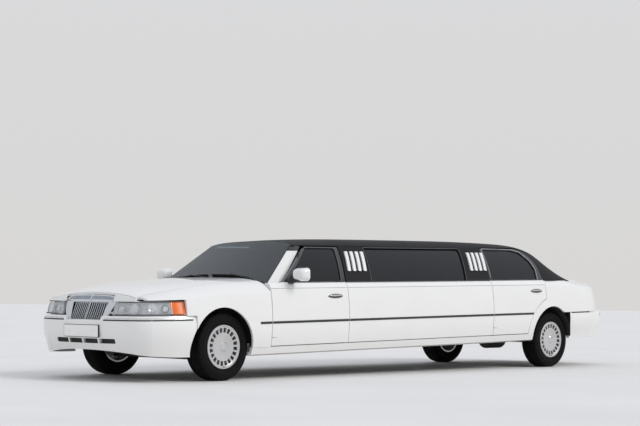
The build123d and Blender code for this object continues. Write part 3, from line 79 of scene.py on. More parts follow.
def nodeOf(material, kind, **values):
    made = material.node_tree.nodes.new(kind)
    for key, value in values.items():
        if key in made.inputs:
            made.inputs[key].default_value = value
        else:
            setattr(made, key, value)
    return made


def shaderOf(material):
    return material.node_tree.nodes["Principled BSDF"]


def relief(material, texture, output, strength, distance):
    # bump from a texture on Object coordinates
    links = material.node_tree.links
    place = nodeOf(material, "ShaderNodeTexCoord")
    bump = nodeOf(material, "ShaderNodeBump", Strength=strength, Distance=distance)
    links.new(place.outputs["Object"], texture.inputs["Vector"])
    links.new(texture.outputs[output], bump.inputs["Height"])
    links.new(bump.outputs["Normal"], shaderOf(material).inputs["Normal"])


def surface(name, colour, roughness, metallic=0.0, coat=0.0, patch=0.05, patchScale=3.0, grain=0.0,
            grainScale=90.0, transmission=0.0, sheen=0.0, specular=0.5, alpha=1.0):
    # one finish: a Principled shader whose colour and roughness drift a little, with a fine grain
    material = bpy.data.materials.new(name)
    material.use_nodes = True
    links = material.node_tree.links
    shader = shaderOf(material)
    fixed = {"Metallic": metallic, "Coat Weight": coat, "Coat Roughness": 0.03, "Alpha": alpha,
             "Transmission Weight": transmission, "Sheen Weight": sheen, "Specular IOR Level": specular}
    for key, value in fixed.items():
        shader.inputs[key].default_value = value
    place = nodeOf(material, "ShaderNodeTexCoord")
    drift = nodeOf(material, "ShaderNodeTexNoise", Scale=patchScale, Detail=4.0)
    links.new(place.outputs["Object"], drift.inputs["Vector"])
    tint = nodeOf(material, "ShaderNodeValToRGB")
    low, high = tint.color_ramp.elements
    low.position, high.position = 0.3, 0.7
    low.color = (*[c * (1 - patch) for c in colour], 1)
    high.color = (*[min(c * (1 + patch), 1) for c in colour], 1)
    links.new(drift.outputs["Fac"], tint.inputs["Fac"])
    links.new(tint.outputs["Color"], shader.inputs["Base Color"])
    matt = nodeOf(material, "ShaderNodeMapRange", **{"To Min": roughness * 0.85, "To Max": roughness * 1.15})
    links.new(drift.outputs["Fac"], matt.inputs["Value"])
    links.new(matt.outputs["Result"], shader.inputs["Roughness"])
    if grain:
        fine = nodeOf(material, "ShaderNodeTexNoise", Scale=grainScale, Detail=3.0)
        relief(material, fine, "Fac", grain, 0.002)
    return material


def bodyHeight(material):
    # height above the ground counted square to the body, for finishes that change along a level line
    dot = nodeOf(material, "ShaderNodeVectorMath", operation="DOT_PRODUCT")
    dot.inputs[1].default_value = bodyUp
    drop = nodeOf(material, "ShaderNodeMath", operation="SUBTRACT")
    drop.inputs[1].default_value = axleGround.dot(bodyUp)
    place = nodeOf(material, "ShaderNodeTexCoord")
    material.node_tree.links.new(place.outputs["Object"], dot.inputs[0])
    material.node_tree.links.new(dot.outputs["Value"], drop.inputs[0])
    return drop.outputs[0]


def paint(name, splitAt=None):
    # white clear-coated paint with a painted reflection of the ground, a brownish tint strongest towards the
    # bottom, changing to black above a level line
    look = paintLook
    material = surface(name, look["colour"], look["roughness"], coat=1.0, patch=0.012,
                       grain=look["orangePeel"], grainScale=220, specular=0.25)
    links = material.node_tree.links
    shader = shaderOf(material)
    white = shader.inputs["Base Color"].links[0].from_socket
    height = bodyHeight(material)
    # painted reflection of the ground: a brownish tint mixed into the white, full below 0.22 m and gone above 0.5
    # m
    reflectionMask = nodeOf(material, "ShaderNodeMapRange",
                  **{"From Min": 0.22, "From Max": 0.5, "To Min": look["groundReflection"] * 3, "To Max": 0})
    links.new(height, reflectionMask.inputs["Value"])
    groundReflected = nodeOf(material, "ShaderNodeMix", data_type="RGBA")
    groundReflected.inputs[7].default_value = (0.45, 0.40, 0.35, 1)
    links.new(reflectionMask.outputs["Result"], groundReflected.inputs[0])
    links.new(white, groundReflected.inputs[6])
    links.new(groundReflected.outputs[2], shader.inputs["Base Color"])
    if splitAt:
        line = nodeOf(material, "ShaderNodeMath", operation="GREATER_THAN")
        line.inputs[1].default_value = splitAt
        links.new(height, line.inputs[0])
        split = nodeOf(material, "ShaderNodeMix", data_type="RGBA")
        split.inputs[7].default_value = (0.005, 0.005, 0.006, 1)
        links.new(line.outputs[0], split.inputs[0])
        links.new(groundReflected.outputs[2], split.inputs[6])
        links.new(split.outputs[2], shader.inputs["Base Color"])
    return material


def vinyl():
    # grained black top: cells for the grain, a slow drift for the padding under it
    look = vinylLook
    material = surface("roofVinyl", look["colour"], look["roughness"], patch=0.2, patchScale=2.2,
                       specular=0.2)
    cells = nodeOf(material, "ShaderNodeTexVoronoi", Scale=look["grain"], feature="SMOOTH_F1")
    relief(material, cells, "Distance", look["depth"], 0.0015)
    return material


def ribbed(name, colour, roughness, ribs):
    # moulded lamp plastic with upright ribs inside
    material = surface(name, colour, roughness, coat=0.6, patch=0.08, patchScale=9)
    wave = nodeOf(material, "ShaderNodeTexWave", Scale=ribs, bands_direction="Y", wave_profile="SIN")
    relief(material, wave, "Fac", 0.35, 0.003)
    return material


whitePaint = paint("whitePaint")
doorPaint = paint("doorPaint", twoToneLook["doorTop"])
pillarPaint = paint("pillarPaint", twoToneLook["pillarTop"])
roofVinyl = vinyl()
sideGlass = surface("sideGlass", glassLook["side"], glassLook["roughness"], transmission=0.45, patch=0.1,
                    specular=0.12)
screenGlass = surface("screenGlass", glassLook["screen"], glassLook["roughness"], transmission=1.0,
                      patch=0.03)
lampGlass = surface("lampGlass", (0.85, 0.88, 0.90), 0.02, coat=1.0, patch=0.01, alpha=0.16)
chrome = surface("chrome", chromeLook["colour"], chromeLook["roughness"], metallic=1.0, patch=0.02)
satinMetal = surface("satinMetal", (0.62, 0.62, 0.63), 0.28, metallic=1.0, grain=0.05, grainScale=400)
wheelSilver = surface("wheelSilver", (0.60, 0.60, 0.60), 0.30, metallic=0.75, coat=0.4, patch=0.06,
                      grain=0.03)
tyreRubber = surface("tyreRubber", (0.006, 0.006, 0.0065), 0.85, patch=0.25, patchScale=9, grain=0.3,
                     grainScale=160, specular=0.15)
blackRubber = surface("blackRubber", (0.022, 0.022, 0.024), 0.55, patch=0.15, grain=0.1)
frameBlack = surface("frameBlack", (0.022, 0.021, 0.02), 0.6, patch=0.3, patchScale=7, grain=0.3,
                     grainScale=70)
bareSteel = surface("bareSteel", (0.23, 0.21, 0.19), 0.5, metallic=0.85, patch=0.3, patchScale=8, grain=0.25)
castMetal = surface("castMetal", (0.10, 0.095, 0.09), 0.65, metallic=0.6, patch=0.25, patchScale=9, grain=0.6)
darkPlastic = surface("darkPlastic", (0.02, 0.02, 0.021), 0.6, patch=0.12, grain=0.25, grainScale=320)
softTrim = surface("softTrim", trimLook["colour"], 0.62, patch=0.1, grain=0.3, grainScale=300, sheen=0.2)
seatLeather = surface("seatLeather", trimLook["seat"], 0.48, patch=0.12, patchScale=6, grain=0.35,
                      grainScale=240)
amberLens = ribbed("amberLens", (0.78, 0.15, 0.012), 0.12, 60)
redLens = ribbed("redLens", (0.42, 0.012, 0.012), 0.12, 60)
lampTray = surface("lampTray", (0.66, 0.68, 0.69), 0.25, metallic=0.15, patch=0.05)
darkChrome = surface("darkChrome", (0.34, 0.37, 0.41), 0.10, metallic=1.0, patch=0.1, patchScale=14)
darkTrim = surface("darkTrim", (0.13, 0.13, 0.135), 0.3, metallic=0.6, patch=0.05)
plateWhite = surface("plateWhite", (0.88, 0.88, 0.86), 0.4, patch=0.03, grain=0.05)
pinstripe = surface("pinstripe", (0.30, 0.30, 0.31), 0.4, patch=0.05)

slotFinish = {
    "white_paint": whitePaint,
    "vinyl": roofVinyl,
    "tinted_glass": sideGlass,
    "screen_glass": screenGlass,
    "chrome": chrome,
    "tyre": tyreRubber,
    "wheel_silver": wheelSilver,
    "frame_steel": frameBlack,
    "bare_steel": bareSteel,
    "cast": castMetal,
    "dark_plastic": darkPlastic,
    "trim": softTrim,
    "lamp_clear": lampGlass,
    "lamp_amber": amberLens,
    "lamp_red": redLens,
}
nodeFinish = {"windshield_frame": pillarPaint, "floor_pan": darkPlastic}
for hand, turn in hands:
    for end in ("front", "rear"):
        nodeFinish[f"{end}_door_{hand}"] = doorPaint
for entry in frame["record"]["subparts"]:
    mesh = nodes[entry["node"]].data
    mesh.materials.clear()
    mesh.materials.append(nodeFinish.get(entry["node"], slotFinish[entry["material_slot"]]))
print("materials ready")


# Mesh helpers

def linked(name, data):
    piece = bpy.data.objects.new(name, data)
    bpy.context.scene.collection.objects.link(piece)
    return piece


def pieceFrom(name, shape, finishMaterial, crease):
    mesh = bpy.data.meshes.new(name)
    shape.to_mesh(mesh)
    shape.free()
    mesh.materials.append(finishMaterial)
    for face in mesh.polygons:
        face.use_smooth = True
    mesh.set_sharp_from_angle(angle=radians(crease))
    return linked(name, mesh)


def finish(name, shape, finishMaterial, body="root", crease=35):
    # turns a bmesh into a piece of the scene that rides a body
    bmesh.ops.remove_doubles(shape, verts=shape.verts, dist=1e-5)
    bmesh.ops.recalc_face_normals(shape, faces=shape.faces)
    piece = pieceFrom(name, shape, finishMaterial, crease)
    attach(piece, body)
    return piece


def sweep(rings, closed=False):
    # a loop of points drawn through further loops, by extruding its edges
    shape = bmesh.new()
    rings = list(rings) + ([rings[0]] if closed else [])
    verts = [shape.verts.new(point) for point in rings[0]]
    loop = [shape.edges.new((a, b)) for a, b in zip(verts, verts[1:] + verts[:1])]
    if not closed:
        bmesh.ops.contextual_create(shape, geom=verts)
    for ring in rings[1:]:
        made = bmesh.ops.extrude_edge_only(shape, edges=loop)["geom"]
        fresh = {item for item in made if isinstance(item, bmesh.types.BMVert)}
        verts = [next(e.other_vert(v) for e in v.link_edges if e.other_vert(v) in fresh) for v in verts]
        for vert, point in zip(verts, ring):
            vert.co = point
        loop = [shape.edges.get(pair) for pair in zip(verts, verts[1:] + verts[:1])]
    if not closed:
        bmesh.ops.contextual_create(shape, geom=verts)
    return shape


def revolve(points, centre, axis, steps):
    # a line of points spun once round an axis
    shape = bmesh.new()
    verts = [shape.verts.new(point) for point in points]
    edges = [shape.edges.new(pair) for pair in zip(verts, verts[1:])]
    bmesh.ops.spin(
        shape, geom=verts + edges, cent=centre, axis=axis, angle=2 * pi, steps=steps, use_merge=True,
        dvec=(0, 0, 0), space=Matrix.Identity(4),
    )
    return shape


def spun(profile, centre, outward, steps):
    # a ring on a wheel's axle: pairs of distance along the axle, outward, and radius
    points = [centre + Vector((0, outward * y, r)) for y, r in profile]
    shape = revolve(points, centre, (0, 1, 0), steps)
    bmesh.ops.recalc_face_normals(shape, faces=shape.faces)
    return shape


def turned(profile, centre, axis, steps=48):
    # a round piece about any axis: pairs of distance along it and radius
    across = axis.orthogonal().normalized()
    return revolve([centre + axis * a + across * r for a, r in profile], centre, axis, steps)


skins = {}


def hit(names, origin, direction):
    # nearest point of some CAD nodes on a line, and the normal there
    best, least = None, 0.0
    for name in names:
        if name not in skins:
            shape = bmesh.new()
            shape.from_mesh(nodes[name].data)
            skins[name] = BVHTree.FromBMesh(shape)
            shape.free()
        place, normal, index, distance = skins[name].ray_cast(origin, direction)
        if place is not None and (best is None or distance < least):
            best, least = (place, normal), distance
    return best


def onSide(names, x, z, turn):
    # the body's outer skin at a place seen from the side
    return hit(names, at(x, turn * 1.6, z), -turn * bodyLeft)


def ribbon(name, path, width, height, finishMaterial, body="root", closed=False, sunk=0.001):
    # a moulding along points with normals: a flat-topped strip with chamfered edges
    half, flat, shoulder = width / 2, width * 0.32, height * 0.4
    section = ((-half, -sunk), (-half, shoulder), (-flat, height), (flat, height), (half, shoulder),
               (half, -sunk))
    rings = []
    count = len(path)
    for index, (place, normal) in enumerate(path):
        before = path[index - 1][0] if index or closed else place
        after = path[(index + 1) % count][0] if index < count - 1 or closed else place
        across = normal.cross((after - before).normalized()).normalized()
        rings.append([place + across * a + normal * b for a, b in section])
    return finish(name, sweep(rings, closed), finishMaterial, body)


def span(start, end, step):
    count = max(int(abs(end - start) / step + 0.5), 1)
    return [start + (end - start) * i / count for i in range(count + 1)]


def sideStrip(name, panels, z, start, end, turn, width, height, finishMaterial, body):
    path = [onSide(panels, x, z, turn) for x in span(start, end, 0.05)]
    return ribbon(name, [p for p in path if p], width, height, finishMaterial, body)


# Side mouldings, pinstripe along the shoulder and belt seals, cut at every shut line

# for each: height above the ground, width and how far it stands out
sideLook = {"moulding": (0.562, 0.024, 0.006), "stripe": (0.905, 0.005, 0.0008),
            "belt": (0.966, 0.012, 0.004)}
# node, body, front end and back end of its stretch of side
sideRuns = (
    ("front_fenders", "root", -0.43, -0.598),
    ("front_door_{hand}", "front_door_{hand}", -0.614, -1.756),
    ("side_panels", "root", -1.772, -4.278),
    ("rear_door_{hand}", "rear_door_{hand}", -4.294, -5.068),
    ("rear_bumper", "root", -5.92, -6.35),
)
stripeRuns = (*sideRuns[1:3], ("rear_door_{hand}", "rear_door_{hand}", -4.294, -5.330))
beltRuns = (
    ("front_door_{hand}", "front_door_{hand}", -0.89, -1.752),
    ("pillar_pads", "root", -1.776, -2.185),
    ("pillar_pads", "root", -3.84, -4.274),
    ("rear_door_{hand}", "rear_door_{hand}", -4.298, -5.325),
)
for hand, turn in hands:
    for title, place, runs, finishMaterial in (
        ("moulding", "moulding", sideRuns, blackRubber),
        ("stripe", "stripe", stripeRuns, pinstripe),
        ("beltTrim", "belt", beltRuns, blackRubber),
    ):
        for index, (node, body, start, end) in enumerate(runs):
            z, width, proud = sideLook[place]
            sideStrip(f"{title}{hand.title()}{index}", [node.format(hand=hand)], z, start, end, turn, width,
                      proud, finishMaterial, body.format(hand=hand))
print("side trim ready")


# Window surrounds: a dark line just outside each side glass, bright over the rear doors

windowLook = {"away": 0.006, "width": 0.007, "proud": 0.004, "spacing": 0.03, "brightAway": 0.017}


def outlineOf(node, turn):
    # outer edge of a pane seen from the side, as a convex loop of (x, z)
    flat = [along(vert.co) for vert in nodes[node].data.vertices if vert.co.y * turn > 0]
    return [flat[i] for i in convex_hull_2d([Vector(p) for p in flat])]


def resampled(loop, spacing):
    points = []
    for (x0, z0), (x1, z1) in zip(loop, loop[1:] + loop[:1]):
        length = ((x1 - x0) ** 2 + (z1 - z0) ** 2) ** 0.5
        count = max(int(length / spacing), 1)
        points += [(x0 + (x1 - x0) * i / count, z0 + (z1 - z0) * i / count) for i in range(count)]
    return points


def grown(loop, away):
    middleX = sum(x for x, z in loop) / len(loop)
    middleZ = sum(z for x, z in loop) / len(loop)
    spread = []
    for index, (x, z) in enumerate(loop):
        x0, z0 = loop[index - 1]
        x1, z1 = loop[(index + 1) % len(loop)]
        out = Vector((z1 - z0, x0 - x1)).normalized()
        if out.dot(Vector((x - middleX, z - middleZ))) < 0:
            out = -out
        spread.append((x + out.x * away, z + out.y * away))
    return spread


def brightRun(pane, holder, turn):
    # the stretch over the top of a rear window and down its rear edge
    base = resampled(outlineOf(pane, turn), windowLook["spacing"])
    wide = grown(base, windowLook["brightAway"])
    least = 0.2 * windowLook["brightAway"]
    shown = [b[1] - a[1] > least or a[0] - b[0] > least for a, b in zip(base, wide)]
    first = next(i for i in range(len(wide)) if shown[i] and not shown[i - 1])
    run = []
    for index in range(first, first + len(wide)):
        if not shown[index % len(wide)]:
            break
        run.append(onSide([holder], *wide[index % len(wide)], turn))
    return [p for p in run if p]


for hand, turn in hands:
    for pane, holder, body in (
        ("front_glass_" + hand, "front_door_" + hand, "front_door_" + hand),
        ("rear_glass_" + hand, "rear_door_" + hand, "rear_door_" + hand),
        ("mid_windows", "pillar_pads", "root"),
    ):
        loop = grown(resampled(outlineOf(pane, turn), windowLook["spacing"]), windowLook["away"])
        path = [onSide([holder], x, z, turn) for x, z in loop]
        path = [p for p in path if p and p[1].y * turn > 0.3]
        ribbon(f"{pane}Surround{hand.title()}", path, windowLook["width"], windowLook["proud"], darkTrim,
               body, closed=True)
        if pane.startswith("rear"):
            ribbon("rearBright" + hand.title(), brightRun(pane, holder, turn), windowLook["width"],
                   windowLook["proud"] + 0.001, chrome, body)
print("window surrounds ready")


# Door handles: a dark bowl in a thin rim with a pull flap across it

handleLook = {"length": 0.25, "height": 0.060, "pullHeight": 0.018, "proud": 0.016}
# node and body, middle x and z
handleSpots = (("front_door_", -1.556, 0.817), ("rear_door_", -5.146, 0.832))


def lens(place, normal, length, height, depth, rows=14):
    # flattened dome on a surface, longer along the body than high
    shape = bmesh.new()
    bmesh.ops.create_uvsphere(shape, u_segments=36, v_segments=rows, radius=1.0)
    up = (bodyUp - normal * bodyUp.dot(normal)).normalized()
    fore = up.cross(normal).normalized()
    turn = Matrix((fore * length / 2, up * height / 2, normal * depth)).transposed()
    bmesh.ops.transform(shape, matrix=Matrix.Translation(place) @ turn.to_4x4(), verts=shape.verts)
    return shape


def dome(name, finishMaterial, body, *sizes):
    finish(name, lens(*sizes), finishMaterial, body)


for hand, turn in hands:
    for door, x, z in handleSpots:
        look = handleLook
        place, normal = onSide([door + hand], x, z, turn)
        title = door.replace("_door_", "") + hand.title()
        dome(title + "HandleRim", satinMetal, door + hand, place - normal * 0.002, normal, look["length"],
             look["height"], 0.006)
        dome(title + "HandleBowl", blackRubber, door + hand, place - normal * 0.0015, normal,
             look["length"] * 0.94, look["height"] * 0.80, 0.0075)
        dome(title + "HandlePull", satinMetal, door + hand, place + normal * 0.006 + bodyUp * 0.004, normal,
             look["length"] * 0.80, look["pullHeight"], look["proud"] - 0.006)
print("handles ready")


# Wheels: a dished cover with a ring of pockets, on the tyre with its tread

wheelLook = {"pockets": 20, "pocketDepth": 0.018, "pocketSteps": 4, "steps": 120}
tyreLook = {"steps": 108, "grooveDepth": 0.007, "blockDepth": 0.005}
rim = 0.2027
tyreRadius = frontAxle.z
# distance out from the wheel's middle, and radius
coverProfile = (
    (0.108, 0.0), (0.1075, 0.030), (0.1045, 0.040), (0.101, 0.055), (0.096, 0.095), (0.093, 0.141),
    (0.0945, 0.165), (0.098, 0.188), (0.101, 0.193), (0.101, 0.199), (0.1055, 0.203), (0.1055, 0.214),
    (0.101, 0.2185), (0.095, 0.2185), (0.0945, rim), (0.080, rim - 0.004), (-0.095, rim),
    (-0.095, rim - 0.014), (0.045, rim - 0.016), (0.070, 0.150), (0.078, 0.060), (0.080, 0.0),
)
# the same for the tyre: bead, wall with its steps, shoulder and the ribs of the tread
tyreProfile = (
    (0.0908, 0.2032), (0.0910, 0.222), (0.099, 0.232), (0.1050, 0.247), (0.1100, 0.262), (0.1112, 0.264),
    (0.1121, 0.276), (0.1113, 0.290), (0.1102, 0.292), (0.1075, 0.306), (0.1045, 0.316), (0.1010, 0.3225),
    (0.0930, 0.3300), (0.0800, 0.3342), (0.0620, 0.3349),
)
ribEdges = (0.0600, 0.0520, 0.0240, 0.0160)


def mirrored(points):
    return [(-y, other) for y, other in reversed(points)]


def tyreSection():
    low = tyreRadius - tyreLook["grooveDepth"]
    wall = 0.001
    first, second, third, fourth = ribEdges
    ribs = [(first, low), (second, low), (second - wall, tyreRadius), (third + wall, tyreRadius),
            (third, low), (fourth, low), (fourth - wall, tyreRadius)]
    half = list(tyreProfile) + ribs
    return half + mirrored(half)


def roundWheel(face, centre):
    # a face's distance from the axle, its share of a turn round it, and its distance along it
    middle = face.calc_center_median() - centre
    flat = Vector((middle.x, middle.z))
    return flat.length, (flat.angle_signed(Vector((1, 0))) / (2 * pi)) % 1, middle.y


def cutBlocks(shape, centre):
    # every third strip of the outer ribs is pushed in, which leaves tread blocks
    chosen = []
    for face in shape.faces:
        reach, share, outward = roundWheel(face, centre)
        turnStep = round(share * tyreLook["steps"] - 0.5)
        if reach > 0.331 and 0.0615 < abs(outward) < 0.095 and turnStep % 3 == 0:
            chosen.append(face)
    bmesh.ops.inset_region(shape, faces=chosen, thickness=0.0008, depth=-tyreLook["blockDepth"])


def pocketRing(shape, centre, outward):
    # pockets near the cover's edge: strips of faces set in, then pushed back
    chosen = []
    steps = wheelLook["steps"]
    per = steps // wheelLook["pockets"]
    for face in shape.faces:
        reach, share, level = roundWheel(face, centre)
        inPocket = int(share * steps) % per < wheelLook["pocketSteps"]
        if inPocket and 0.145 < reach < 0.185 and level * outward > 0.09:
            chosen.append(face)
    bmesh.ops.inset_region(shape, faces=chosen, thickness=0.003, depth=-wheelLook["pocketDepth"])
    return chosen


wheelSpots = []
for end in ("front", "rear"):
    for hand, turn in hands:
        spin = joints[f"{end}_wheel_{hand}_spin"]
        wheelSpots.append((end, hand, turn, Vector(spin["pos_m"])))
for end, hand, turn, centre in wheelSpots:
    body = f"{end}_wheel_{hand}"
    title = end + hand.title()
    tyre = spun(tyreSection(), centre, turn, tyreLook["steps"])
    cutBlocks(tyre, centre)
    tyre = finish(title + "Tyre", tyre, tyreRubber, body)
    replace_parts(tyre, f"{end}_tyre_{hand}")
    cover = spun(coverProfile, centre, turn, wheelLook["steps"])
    pockets = pocketRing(cover, centre, turn)
    dark = {tuple(round(c, 5) for c in face.calc_center_median()) for face in pockets}
    cover = finish(title + "Wheel", cover, wheelSilver, body)
    cover.data.materials.append(blackRubber)
    for face in cover.data.polygons:
        if tuple(round(c, 5) for c in face.center) in dark:
            face.material_index = 1
    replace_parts(cover, f"{end}_wheel_{hand}")
    ringOut = spun([(0.1035, 0.038), (0.107, 0.042), (0.1035, 0.047)], centre, turn, 48)
    finish(title + "CapRing", ringOut, chrome, body)
    valve = bmesh.new()
    bmesh.ops.create_cone(valve, cap_ends=True, segments=10, radius1=0.004, radius2=0.003, depth=0.024)
    bmesh.ops.rotate(valve, verts=valve.verts, matrix=Matrix.Rotation(radians(90), 3, "X"))
    bmesh.ops.translate(valve, verts=valve.verts, vec=centre + Vector((0, turn * 0.103, -0.194)))
    finish(title + "Valve", valve, blackRubber, body)
print("wheels ready")


# Places on the nose and the tail, and slabs and bowls set against them

def facing(names, y, z, turn=1):
    # seen from ahead of the nose, or with turn -1 from behind the tail
    return hit(names, at(1.6 if turn > 0 else -7.6, y, z), -turn * bodyFore)


def roundEnd(names, z, hand, start, end, turn=1, step=2.5):
    # points round a corner of the nose or the tail, by angle from straight ahead or astern, in degrees
    path = []
    for angle in span(start, end, step):
        out = turn * bodyFore * cos(radians(angle)) + hand * bodyLeft * sin(radians(angle))
        found = hit(names, at(0.35 if turn > 0 else -6.2, 0, z) + out * 2.2, -out)
        if found:
            path.append(found)
    return path


def slab(place, normal, width, height, thick, radius=0.004, up=bodyUp, edge=0.0):
    # flat block with rounded corners, its back at the place and its face along the normal
    shape = bmesh.new()
    bmesh.ops.create_cube(shape, size=1)
    bmesh.ops.scale(shape, vec=(width, height, thick), verts=shape.verts)
    corners = [e for e in shape.edges if abs(e.verts[0].co.z - e.verts[1].co.z) > thick * 0.9]
    bmesh.ops.bevel(shape, geom=corners, offset=radius, segments=6, profile=0.5, affect="EDGES", material=-1)
    if edge:
        rim = [e for e in shape.edges if all(v.co.z > thick * 0.49 for v in e.verts)]
        bmesh.ops.bevel(shape, geom=rim, offset=edge, segments=3, profile=0.5, affect="EDGES", material=-1)
    across = up.cross(normal).normalized()
    upright = normal.cross(across).normalized()
    turn = Matrix((across, upright, normal)).transposed().to_4x4()
    stand = Matrix.Translation(place + normal * thick / 2) @ turn
    bmesh.ops.transform(shape, matrix=stand, verts=shape.verts)
    return shape


def block(name, finishMaterial, *sizes, body="root", **shaping):
    return finish(name, slab(*sizes, **shaping), finishMaterial, body)


# Headlamps: a thin lens over a tray with four reflectors on each side

lampLook = {"lens": 0.0035, "tray": 0.002, "backFromLens": 0.016, "height": 0.724}
# angle round the nose, radius of the bowl, its depth
bowls = ((39.0, 0.030, 0.020), (48.0, 0.050, 0.030), (58.5, 0.050, 0.030), (67.0, 0.028, 0.018))


def looksOut(face):
    # true where a face of a lamp looks away from the middle of the car
    middle = face.calc_center_median()
    x, z = along(middle)
    hub = at(0.35 if x > 0 else -6.2, 0, z)
    return face.normal.dot((middle - hub).normalized()) > 0.3


def lampSkin(name, node, outer, thickness, finishMaterial):
    # the outer faces of a lamp's solid, or all the others, as a thin shell
    shape = bmesh.new()
    shape.from_mesh(nodes[node].data)
    bmesh.ops.remove_doubles(shape, verts=shape.verts, dist=1e-5)
    shape.normal_update()
    bmesh.ops.delete(shape, geom=[f for f in shape.faces if looksOut(f) != outer], context="FACES")
    piece = pieceFrom(name, shape, finishMaterial, 30)
    shell = piece.modifiers.new("wall", "SOLIDIFY")
    shell.thickness = thickness
    shell.offset = -1
    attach(piece, "root")
    return piece


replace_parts(lampSkin("headlampLenses", "headlamps", True, lampLook["lens"], lampGlass), "headlamps")
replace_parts(lampSkin("headlampTrays", "headlamps", False, lampLook["tray"], lampTray), "headlamps")
for hand, turn in hands:
    for index, (angle, radius, depth) in enumerate(bowls):
        place, normal = roundEnd(["headlamps"], lampLook["height"], turn, angle, angle)[0]
        rimPlace = place - normal * lampLook["backFromLens"]
        shell = [(-depth, 0.0), (-depth * 0.93, radius * 0.30), (-depth * 0.62, radius * 0.66), (0.0, radius),
                 (0.002, radius * 1.04), (-0.002, radius * 1.07), (-depth * 0.62, radius * 0.75),
                 (-depth * 1.05, radius * 0.32), (-depth * 1.12, 0.0)]
        finish(f"bowl{hand.title()}{index}", turned(shell, rimPlace, normal), chrome)
        bulb = [(-depth, radius * 0.14), (-depth * 0.3, radius * 0.14), (-depth * 0.1, radius * 0.09),
                (0.0, 0.0)]
        finish(f"bulb{hand.title()}{index}", turned(bulb, rimPlace, normal, 20),
               lampGlass if index else amberLens)
        if index == len(bowls) - 1:
            collar = [(0.001, radius * 1.05), (0.004, radius * 1.12), (0.004, radius * 1.35),
                      (-0.004, radius * 1.4)]
            finish("lampCollar" + hand.title(), turned(collar, rimPlace, normal), darkPlastic)
    lampNames = ["headlamps", "corner_lamps"]
    top = roundEnd(lampNames, 0.7855, turn, 33.5, 78.4)
    low = roundEnd(lampNames, 0.6655, turn, 78.4, 33.5)
    side = [p for z in (0.775, 0.755, 0.73, 0.70, 0.68) for p in roundEnd(lampNames, z, turn, 78.6, 78.6)]
    ribbon("lampSeal" + hand.title(), top + side + low, 0.007, 0.002, blackRubber)
    edge = [p for z in span(0.668, 0.783, 0.02) for p in roundEnd(lampNames, z, turn, 70.7, 70.7)]
    ribbon("amberEdge" + hand.title(), edge, 0.005, 0.0015, satinMetal)
print("headlamps ready")


# Grille: a bright frame with a tall header and a rib, upright bars in two leaning halves, dark behind

grilleLook = {"lean": 0.3983, "low": 0.598, "front": 1.012, "bars": 9, "spacing": 0.0295, "barWidth": 0.010,
              "barDepth": 0.020, "prow": 0.012}
grilleOut = bodyFore * cos(grilleLook["lean"]) + bodyUp * sin(grilleLook["lean"])
grilleUp = bodyUp * cos(grilleLook["lean"]) - bodyFore * sin(grilleLook["lean"])


def onGrille(y, height, out=0.0):
    return at(grilleLook["front"], 0, grilleLook["low"]) + bodyLeft * y + grilleUp * height + grilleOut * out


def between(outer, inner, steps):
    # sections from one outline to the other: pairs of share of the way and distance out
    return [
        [onGrille(y0 + (y1 - y0) * share, h0 + (h1 - h0) * share, out) for share, out in steps]
        for (y0, h0), (y1, h1) in zip(outer, inner)
    ]


def bentRing(name, outer, inner, front, back, finishMaterial):
    # a frame between two outlines with the same number of points, its front edges rounded
    steps = ((0.0, back), (0.0, front - 0.004), (0.2, front), (0.75, front), (1.0, front - 0.005),
             (1.0, back))
    return finish(name, sweep(between(outer, inner, steps), closed=True), finishMaterial)


# left halves of the frame's outlines: pairs of distance from the middle and height
grilleOuter = [(0.240, 0.002), (0.256, 0.008), (0.285, 0.022), (0.335, 0.085), (0.368, 0.150), (0.390, 0.206),
               (0.390, 0.212)]
grilleInner = [(0.226, 0.020), (0.236, 0.024), (0.241, 0.034), (0.248, 0.088), (0.258, 0.150), (0.268, 0.194),
               (0.266, 0.198)]
for half in (grilleOuter, grilleInner):
    half += mirrored(half)
surround = bentRing("grilleSurround", grilleOuter, grilleInner, 0.004, -0.040, chrome)
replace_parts(surround, "grille")

# header: bright band whose top edge sweeps down to its ends
headerTop = [(0.0, 0.279), (0.10, 0.2785), (0.20, 0.276), (0.29, 0.270), (0.336, 0.262), (0.356, 0.250),
             (0.366, 0.236), (0.366, 0.226)]
headerLow = [(0.0, 0.206), (0.10, 0.206), (0.20, 0.206), (0.275, 0.206), (0.302, 0.207), (0.322, 0.210),
             (0.344, 0.216), (0.358, 0.221)]
headerSteps = ((0.0, -0.040), (0.0, 0.000), (0.10, 0.006), (0.35, 0.0045), (0.65, 0.0045), (0.90, 0.008),
               (1.0, 0.002), (1.0, -0.040))
for half in (headerTop, headerLow):
    half[:0] = mirrored(half[1:])
finish("grilleHeader", sweep(between(headerTop, headerLow, headerSteps)), chrome, crease=28)
headerPanel = ((0.014, 0.217), (0.014, 0.270), (0.150, 0.268), (0.260, 0.262), (0.325, 0.250), (0.340, 0.238),
               (0.335, 0.226), (0.290, 0.218))
for hand, turn in reversed(hands):
    panel = [[onGrille(turn * y, h, out) for y, h in headerPanel] for out in (-0.002, 0.0055)]
    finish("headerPanel" + hand.title(), sweep(panel), darkChrome)
block("grilleRib", chrome, onGrille(0, 0.243, 0.003), grilleOut, 0.014, 0.072, 0.009, 0.003, up=grilleUp,
      edge=0.003)


def barAt(y, width, depth, out):
    shape = slab(onGrille(y, 0.109, out - depth), grilleOut, width, 0.184, depth, 0.0006, up=grilleUp)
    face = onGrille(0, 0, out)
    front = [e for e in shape.edges if all((v.co - face).dot(grilleOut) > -1e-4 for v in e.verts)]
    bmesh.ops.bevel(shape, geom=front, offset=width * 0.3, segments=2, profile=0.5, affect="EDGES",
                    material=-1)
    return shape


